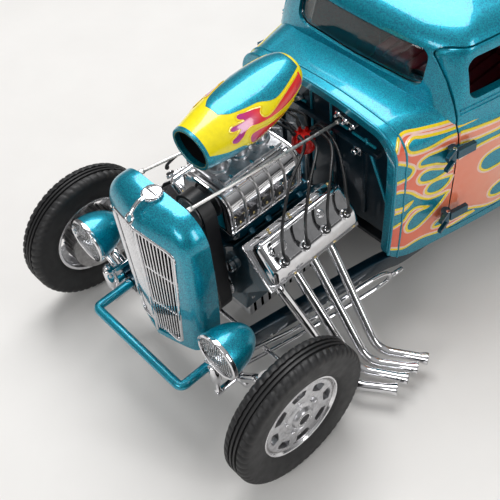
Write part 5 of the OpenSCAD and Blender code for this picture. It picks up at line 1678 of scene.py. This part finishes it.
def make_headers():
    out = np.array([across[0], 0, across[1]])
    tilt = math.atan2(-out[2], out[0])
    flange, flange_faces = revolve([(pipe_r, 0.05), (2.15, 0.06), (2.25, 0.2), (2.25, 0.55), (2.1, 0.7),
                                    (pipe_r, 0.72)], (0, 0, 0), "x", 36, True)
    flange = np.column_stack([flange[:, 0] * math.cos(tilt) + flange[:, 2] * math.sin(tilt), flange[:, 1],
                              -flange[:, 0] * math.sin(tilt) + flange[:, 2] * math.cos(tilt)])
    for side, word in ((1, "left"), (-1, "right")):
        pipes, flanges, outlet_shade = Shape(), Shape(), Shape()
        turn = [side, 1, 1]
        for i in range(4):
            start = np.array([port[0], head_y + 4 + 5.95 * i, port[1]])
            middle = [(27, 20.7, 14.4), pipe_low[0], (40.4, 20.8, 6)] if i == 0 else [pipe_low[i]]
            corners = [start, start + 1.6 * out, *middle, pipe_end[i]]
            path = rounded_run(corners, [0.8] + [3 if i == 0 else 4] * len(middle), 10)
            end = path[-1]
            away = unit(path[-1] - path[-2])
            path = np.vstack([path[:-1], end - 2.2 * away, end - 1.0 * away, end - 0.02 * away])
            radii = [pipe_r] * (len(path) - 2) + [1.26 * pipe_r, 1.33 * pipe_r]
            verts, faces = tube(path, radii, 24)
            pipes.add(verts * turn, faces)
            flanges.add((flange + start) * turn, flange_faces)
            # A black disc just inside each flared pipe end: painted shade for the open bore.
            verts, faces = tube([end - 0.9 * away, end + 0.01 * away], 1.14 * pipe_r, 24)
            outlet_shade.add(verts * turn, faces)
        piece(f"header_{word}_pipes", pipes, chrome, [f"header_{word}"], 50)
        piece(f"header_{word}_flanges", flanges, chrome, (), 35)
        piece(f"header_{word}_outlets", outlet_shade, black, (), 40)


def make_gearbox():
    case, shaft = Shape(), Shape()
    y = block_y + block_len
    case.add(*revolve([(tip, y + 0.08), (9.9, y + 0.08), (9.98, y + 0.4), (9.98, y + 1.2), (9.2, y + 1.6),
                       (8.6, y + 4.4), (7.2, y + 4.65), (tip, y + 4.65)], (0, 0, crank_z), "y", 56))
    case.add(*revolve([(tip, y + 4.75), (6.25, y + 4.75), (5.9, y + 9), (5.6, y + 9.2), (5.6, y + 20),
                       (5.2, y + 20.3), (5.0, y + 30.65), (tip, y + 30.68)], (0, 0, 17), "y", 48))
    for a in evenly(10):
        case.add(*hex_bolt((9.1 * math.cos(a), y + 1.55, crank_z + 9.1 * math.sin(a)), (0, 1, 0), 0.5, 0.4))
    piece("gearbox_case", case, aluminium, ["gearbox"], 35)
    a, b = np.array([0, y + 30.8, 17.0]), np.array([0, rear_axle_y - 6.35, rear_tyre_r])
    shaft.add(*rod(tuple(a), tuple(b), 1.3, 24, 0.3))
    way = unit(b - a)
    for end in (a + 0.2 * way, b - 2.2 * way):
        shaft.add(*rod(tuple(end), tuple(end + 2 * way), 1.49, 24, 0.3))
    piece("prop_shaft", shaft, chrome, angle=40)


for build in (make_block, make_heads, make_covers, make_grommets, make_manifold, make_blower, make_drive,
              make_scoop, make_drips, make_injector, make_distributor, make_wires, make_headers,
              make_gearbox):
    build()


# ---------- body trim, cab and running gear ----------

firewall_y = 51.8
# The darker teal copies below are painted shade; these parts are the body's teal.
kept_looks = {
    "firewall": deep_shade_teal, "floor_pan": black, "radiator": black, "crossmembers": deep_shade_teal,
    "rear_axle": deep_shade_teal, "dashboard": deep_shade_teal, "hinge_pins": shaded_teal,
    "door_left_hinges": shaded_teal, "door_right_hinges": shaded_teal, "knuckle_left": satin,
    "knuckle_right": satin, "tie_rod": chrome, "window_glass": glass}


def paint_kept_nodes():
    """CAD nodes that stay as they are get their procedural materials."""
    for node, material in kept_looks.items():
        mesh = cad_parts[node].data
        if not mesh.materials:
            mesh.materials.append(material)
        for k in range(len(mesh.materials)):
            mesh.materials[k] = material


def make_cowl_bead():
    bead = Shape()
    for y, r in ((cowl_y + 0.55, 0.42), (cowl_y + 3.4, 0.3)):
        line = [(x, y, z) for x, z in body_half(y)]
        path = line + [(-x, y, z) for x, y, z in line[-2::-1]]
        bead.add(*tube(path, r, 10))
    piece("cowl_bead", bead, teal, angle=60)


def belt_run(y0, y1, z):
    """Points along the cab's side at the belt; the doors and body share this line."""
    inset = cab_inset + cab_lean * (z - belt_z) + 0.02
    return [(body_w(y) - inset, y, z) for y in np.linspace(y0, y1, 24)]


def make_belt():
    for side, word in ((1, "left"), (-1, "right")):
        for label, body, y0, y1 in (("door", f"{word}_door", door_front_y + 0.6, door_rear_y - 0.6),
                                    ("body", "chassis", door_rear_y + panel_gap + 0.6, 138)):
            bead = Shape()
            for z in (58.9, 60.0):
                path = [(side * x, y, q) for x, y, q in belt_run(y0, y1, z)]
                bead.add(*tube(path, 0.28, 8))
            piece(f"belt_{label}_{word}", bead, teal, (), 60, body)
        handle = Shape()
        y, z = door_rear_y - 5.2, 54.5
        x = side_x(y, z)
        handle.add(*rod((side * (x - 0.1), y, z), (side * (x + 0.9), y, z), 0.5, 16, 0.15))
        lever = [(side * (x + out), y + back, z) for out, back in ((0.75, 0.4), (0.95, -1.5), (0.7, -3.6))]
        handle.add(*tube(lever, [0.42, 0.4, 0.3], 12))
        piece(f"door_handle_{word}", handle, chrome, (), 50, f"{word}_door")


def make_firewall_ribs():
    ribs = Shape()
    y = firewall_y - 0.15
    ribs.both(*rod((15, y, 53.4), (22.2, y, 36), 0.45, 12))
    ribs.both(*rod((5.2, y, 53.0), (9.4, y, 52.8), 0.4, 12))
    ribs.both(*rod((10.6, y, 52.6), (18.4, y, 52.2), 0.4, 12))
    ribs.both(*rod((3.4, y, 58.5), (3.4, y, 30), 0.35, 12))
    piece("firewall_ribs", ribs, teal)
    fittings = Shape()
    for x, z, r in ((7.0, 57.2, 0.9), (9.4, 56.3, 1.0), (11.8, 56.0, 0.8)):
        fittings.add(*rod((x, y + 0.1, z), (x, y - 1.5, z), r, 20, 0.2))
        fittings.add(*rod((x, y - 1.3, z), (x + 0.3, y - 2.3, z + 0.2), 0.45 * r, 12, 0.1))
        fittings.add(*ball((x + 0.3, y - 2.4, z + 0.2), 0.42 * r, 14))
    fittings.add(*rod((6.6, y - 1.0, 57.2), (12.6, y - 1.0, 55.9), 0.28, 10, 0.05))
    fittings.add(*box((11.6, y - 0.9, 47.2), (14.2, y, 50.2), 0.3))
    fittings.add(*rod((12.9, y - 0.8, 48.7), (12.9, y - 2.2, 48.7), 0.8, 20, 0.2))
    piece("firewall_fittings", fittings, chrome, angle=40)


def make_stays():
    stays = Shape()
    stays.both(*rod((8.5, 2.15, 62.6), (6.6, 51.65, 54), 0.4, 16, 0.1))
    stays.both(*rod((8.47, 2.2, 62.6), (8.42, 3.6, 62.36), 0.62, 12, 0.1))
    stays.both(*rod((6.66, 50.2, 54.26), (6.6, 51.6, 54.0), 0.62, 12, 0.1))
    piece("stay_rods", stays, brushed, ["cowl_stays"], 50)


seat_rolls, seat_base_z = 13, 25.1


def make_seat():
    shift = np.array([0, front_axle_y, 0])
    low, high = (corner - shift for corner in cad_size("seat"))
    front, back_y = low[1], high[1] - 8
    seat = Shape()
    width = (high[0] - low[0]) / seat_rolls
    seat.add(*box((low[0], front + 1, 17.9), (-8.1, back_y - 0.8, seat_base_z), 0.3))
    seat.add(*box((8.1, front + 1, 17.9), (high[0], back_y - 0.8, seat_base_z), 0.3))
    seat.add(*box((low[0] + 0.1, front + 0.1, seat_base_z),
                  (high[0] - 0.1, back_y - 0.9, seat_base_z + 4.4), 0.6))
    a = math.radians(-8)
    for i in range(seat_rolls):
        x0, x1 = low[0] + (i + 0.06) * width, low[0] + (i + 0.94) * width
        seat.add(*box((x0, front + 0.15, seat_base_z + 2.5), (x1, back_y - 1, seat_base_z + 5.9), 0.9))
        verts, faces = box((x0, 0.1, 0.3), (x1, 5.8, 26.6), 0.95)
        v = np.asarray(verts)
        leaned = np.column_stack([v[:, 0], v[:, 1] * math.cos(a) - v[:, 2] * math.sin(a) + (riser_y - 9.4),
                                  v[:, 1] * math.sin(a) + v[:, 2] * math.cos(a) + 26])
        seat.add(leaned, faces)
    piece("seat_rolls", seat, seat_red, ["seat"], 40)


column_x, steering_wheel_r, dash_y = 12, 8, cowl_y + 16.5


def make_steering():
    column_front_y = cad_size("steering_column")[0][1] - front_axle_y
    low, high = np.array([column_x, column_front_y + 0.35, 33]), np.array([column_x, dash_y + 16, 47])
    shaft, wheel, spokes = Shape(), Shape(), Shape()
    shaft.add(*rod(low, high, 0.88, 20))
    piece("steering_shaft", shaft, chrome, ["steering_column"])
    way = unit(high - low)
    side = np.array([1.0, 0, 0])
    up = np.cross(side, way)
    a = np.linspace(0, 2 * math.pi, 73)[:-1]
    rings = []
    for b in evenly(12):
        rings.append([high + (steering_wheel_r + 0.72 * math.cos(b)) * (math.cos(t) * side + math.sin(t) * up)
                      + 0.72 * math.sin(b) * way for t in a])
    wheel.add(*loft(rings + [rings[0]], False))
    piece("steering_wheel_rim", wheel, black, (), 60)
    for t in (0, 2 * math.pi / 3, 4 * math.pi / 3):
        out = math.cos(t) * side + math.sin(t) * up
        spokes.add(*rod(high + 1.2 * out, high + 7.5 * out, 0.38, 12))
    spokes.add(*rod(high - 0.68 * way, high + 0.68 * way, 1.58, 28, 0.3))
    piece("steering_wheel_spokes", spokes, chrome, (), 40)


def make_dials():
    plates, rings, hands = Shape(), Shape(), Shape()
    z = body_top(dash_y) - 7.6
    for x, r in ((12, 2.6), (5.6, 1.9), (18.2, 1.9), (-1, 1.9), (-12, 2.2)):
        plates.add(*revolve([(tip, dash_y + 0.35), (r, dash_y + 0.34), (r, dash_y), (tip, dash_y + 0.02)],
                            (x, 0, z), "y", 36))
        rings.add(*revolve([(r - 0.05, dash_y), (r - 0.05, dash_y + 0.55), (r + 0.3, dash_y + 0.5),
                            (r + 0.4, dash_y)], (x, 0, z), "y", 40, True))
        for k in range(8):
            t = math.radians(-30 + 30 * k)
            a, b = r * 0.72, r * 0.92
            hands.add(*rod((x + a * math.cos(t), dash_y + 0.37, z + a * math.sin(t)),
                           (x + b * math.cos(t), dash_y + 0.37, z + b * math.sin(t)), 0.06, 6, 0.01))
        hands.add(*rod((x, dash_y + 0.4, z), (x - 0.5 * r, dash_y + 0.4, z + 0.55 * r), 0.08, 6, 0.01))
    piece("dial_faces", plates, dial)
    piece("dial_bezels", rings, chrome, angle=40)
    piece("dial_marks", hands, black)


def make_taillights():
    lenses, bezels = Shape(), Shape()
    low, high = cad_size("taillights")
    y0, y1 = low[1] - front_axle_y, high[1] - front_axle_y
    x, z = high[0] - taillight_r, (low + high)[2] / 2
    for s in (-1, 1):
        at = (s * x, 0, z)
        lenses.add(*revolve([(tip, y0 + 0.1), (taillight_r - 0.5, y0 + 0.1), (taillight_r - 0.45, y1 - 1.4),
                             (1.35, y1 - 0.6), (0.7, y1 - 0.12), (tip, y1 - 0.02)], at, "y", 40))
        bezels.add(*revolve([(taillight_r - 0.45, y0 + 0.6), (taillight_r - 0.03, y0 + 0.7),
                             (taillight_r - 0.02, y1 - 1.9), (taillight_r - 0.2, y1 - 1.35),
                             (taillight_r - 0.45, y1 - 1.3)], at, "y", 40, True))
    piece("taillight_lenses", lenses, tail_red, ["taillights"], 50)
    piece("taillight_bezels", bezels, chrome, angle=40)


coil_turns = 6


def make_rear_suspension():
    arms, coils, cover = Shape(), Shape(), Shape()
    boss_rear_y = rear_axle_y - arch_r - 11
    arms.both(*rod((18, boss_rear_y + 2.25, 12), (18, rear_axle_y - 3.25, 20.4), 0.88, 18, 0.2))
    a, b = np.array([16, rear_axle_y + 4, 20]), np.array([16, rear_axle_y + 9, 34.1])
    way = unit(b - a)
    arms.both(*rod(tuple(a + 0.1 * way), tuple(b - 0.1 * way), 0.85, 18, 0.2))
    length = np.linalg.norm(b - a)
    for end in (a + 0.7 * way, b - 1.2 * way):
        arms.both(*rod(tuple(end), tuple(end + 0.5 * way), 1.75, 24, 0.1))
    u, v = np.array([1.0, 0, 0]), np.cross(way, [1.0, 0, 0])
    turns = np.linspace(0, 2 * math.pi * coil_turns, coil_turns * 18)
    helix = [a + (1.1 + (length - 2.4) * t / turns[-1]) * way + 1.42 * (math.cos(t) * u + math.sin(t) * v)
             for t in turns]
    coils.both(*tube(helix, 0.3, 8))
    piece("rear_links", arms, chrome, ["rear_suspension"], 40)
    piece("rear_coils", coils, chrome, angle=60)
    for t in evenly(10):
        at = (4.3 * math.cos(t), rear_axle_y + 4.55, rear_tyre_r + 4.3 * math.sin(t))
        cover.add(*hex_bolt(at, (0, 1, 0), 0.45, 0.3))
    piece("axle_bolts", cover, chrome)


def make_hinge_bolts():
    bolts = Shape()
    x, y = cad_size("hinge_pins")[1][0] - 1.2, door_front_y - 2.9
    for z in (27.3, 49.6):
        for dz in (-2.25, 2.25):
            bolts.both(*rod((x, y, z + dz - 0.1), (x, y, z + dz + 0.12), 0.55, 16, 0.08))
    piece("hinge_pin_heads", bolts, chrome)


for build in (paint_kept_nodes, make_cowl_bead, make_belt, make_firewall_ribs, make_stays, make_seat,
              make_steering, make_dials, make_taillights, make_rear_suspension, make_hinge_bolts):
    build()


# ---------- stage, lamps and camera ----------

def make_stage():
    material, tree, shader = nodes_of("floor_paper", {"Roughness": 0.75})
    vary(tree, shader, "Base Color", noise(tree, 30.0, 5.0),
         [(0.3, (0.76, 0.745, 0.725)), (0.7, (0.8, 0.785, 0.765))])
    size = 3000
    corners = [(-size, -size, 0), (size, -size, 0), (size, size, 0), (-size, size, 0)]
    new_object("floor", corners, [[0, 1, 2, 3]], material)


def make_lamp(name, at, towards, size, power):
    light = bpy.data.lights.new(name, "AREA")
    light.shape, light.size, light.size_y, light.energy = "RECTANGLE", size[0] * MM, size[1] * MM, power
    lamp = bpy.data.objects.new(name, light)
    bpy.context.scene.collection.objects.link(lamp)
    lamp.location = place([at])[0]
    lamp.rotation_euler = (Vector(place([towards])[0]) - lamp.location).to_track_quat("-Z", "Y").to_euler()


def make_world():
    world = bpy.data.worlds.new("studio")
    world.use_nodes = True
    bpy.context.scene.world = world
    tree = world.node_tree
    back = tree.nodes["Background"]
    split = add_node(tree, "SeparateXYZ")
    tree.links.new(coordinates(tree, "Generated"), split.inputs["Vector"])
    vary(tree, back, "Color", split.outputs["Z"], [(0.0, grey(0.22)), (0.3, grey(0.3)), (0.85, grey(0.95))])
    back.inputs["Strength"].default_value = 0.45


camera_angles, camera_lens, camera_eye = (53.34, 50.09, -7.79), 66.35, (124.41, -68.69, 208.61)


def make_camera():
    """The camera looks down at the left front corner, turned a little about its own axis."""
    azimuth, elevation, roll = np.radians(camera_angles)
    back = Vector((math.sin(azimuth) * math.cos(elevation), -math.cos(azimuth) * math.cos(elevation),
                   math.sin(elevation)))
    right = (-back).cross(Vector((0, 0, 1))).normalized()
    up = right.cross(-back)
    across = math.cos(roll) * right + math.sin(roll) * up
    above = -math.sin(roll) * right + math.cos(roll) * up
    data = bpy.data.cameras.new("camera")
    data.lens, data.sensor_width, data.clip_start = camera_lens, 36, 0.01
    camera = bpy.data.objects.new("camera", data)
    bpy.context.scene.collection.objects.link(camera)
    turn = np.array([across, above, back]).T
    eye = place([camera_eye])[0]
    camera.matrix_world = Matrix([[*turn[i], eye[i]] for i in range(3)] + [[0, 0, 0, 1]])
    bpy.context.scene.camera = camera


make_stage()
make_world()
make_lamp("key", (-150, 160, 420), (0, 40, 20), (300, 300), 1.75)
make_lamp("front", (60, -330, 260), (0, 0, 30), (220, 90), 0.45)
make_lamp("side", (420, 120, 240), (20, 60, 30), (80, 260), 0.5)
make_camera()
bpy.context.scene.view_settings.view_transform = "Standard"
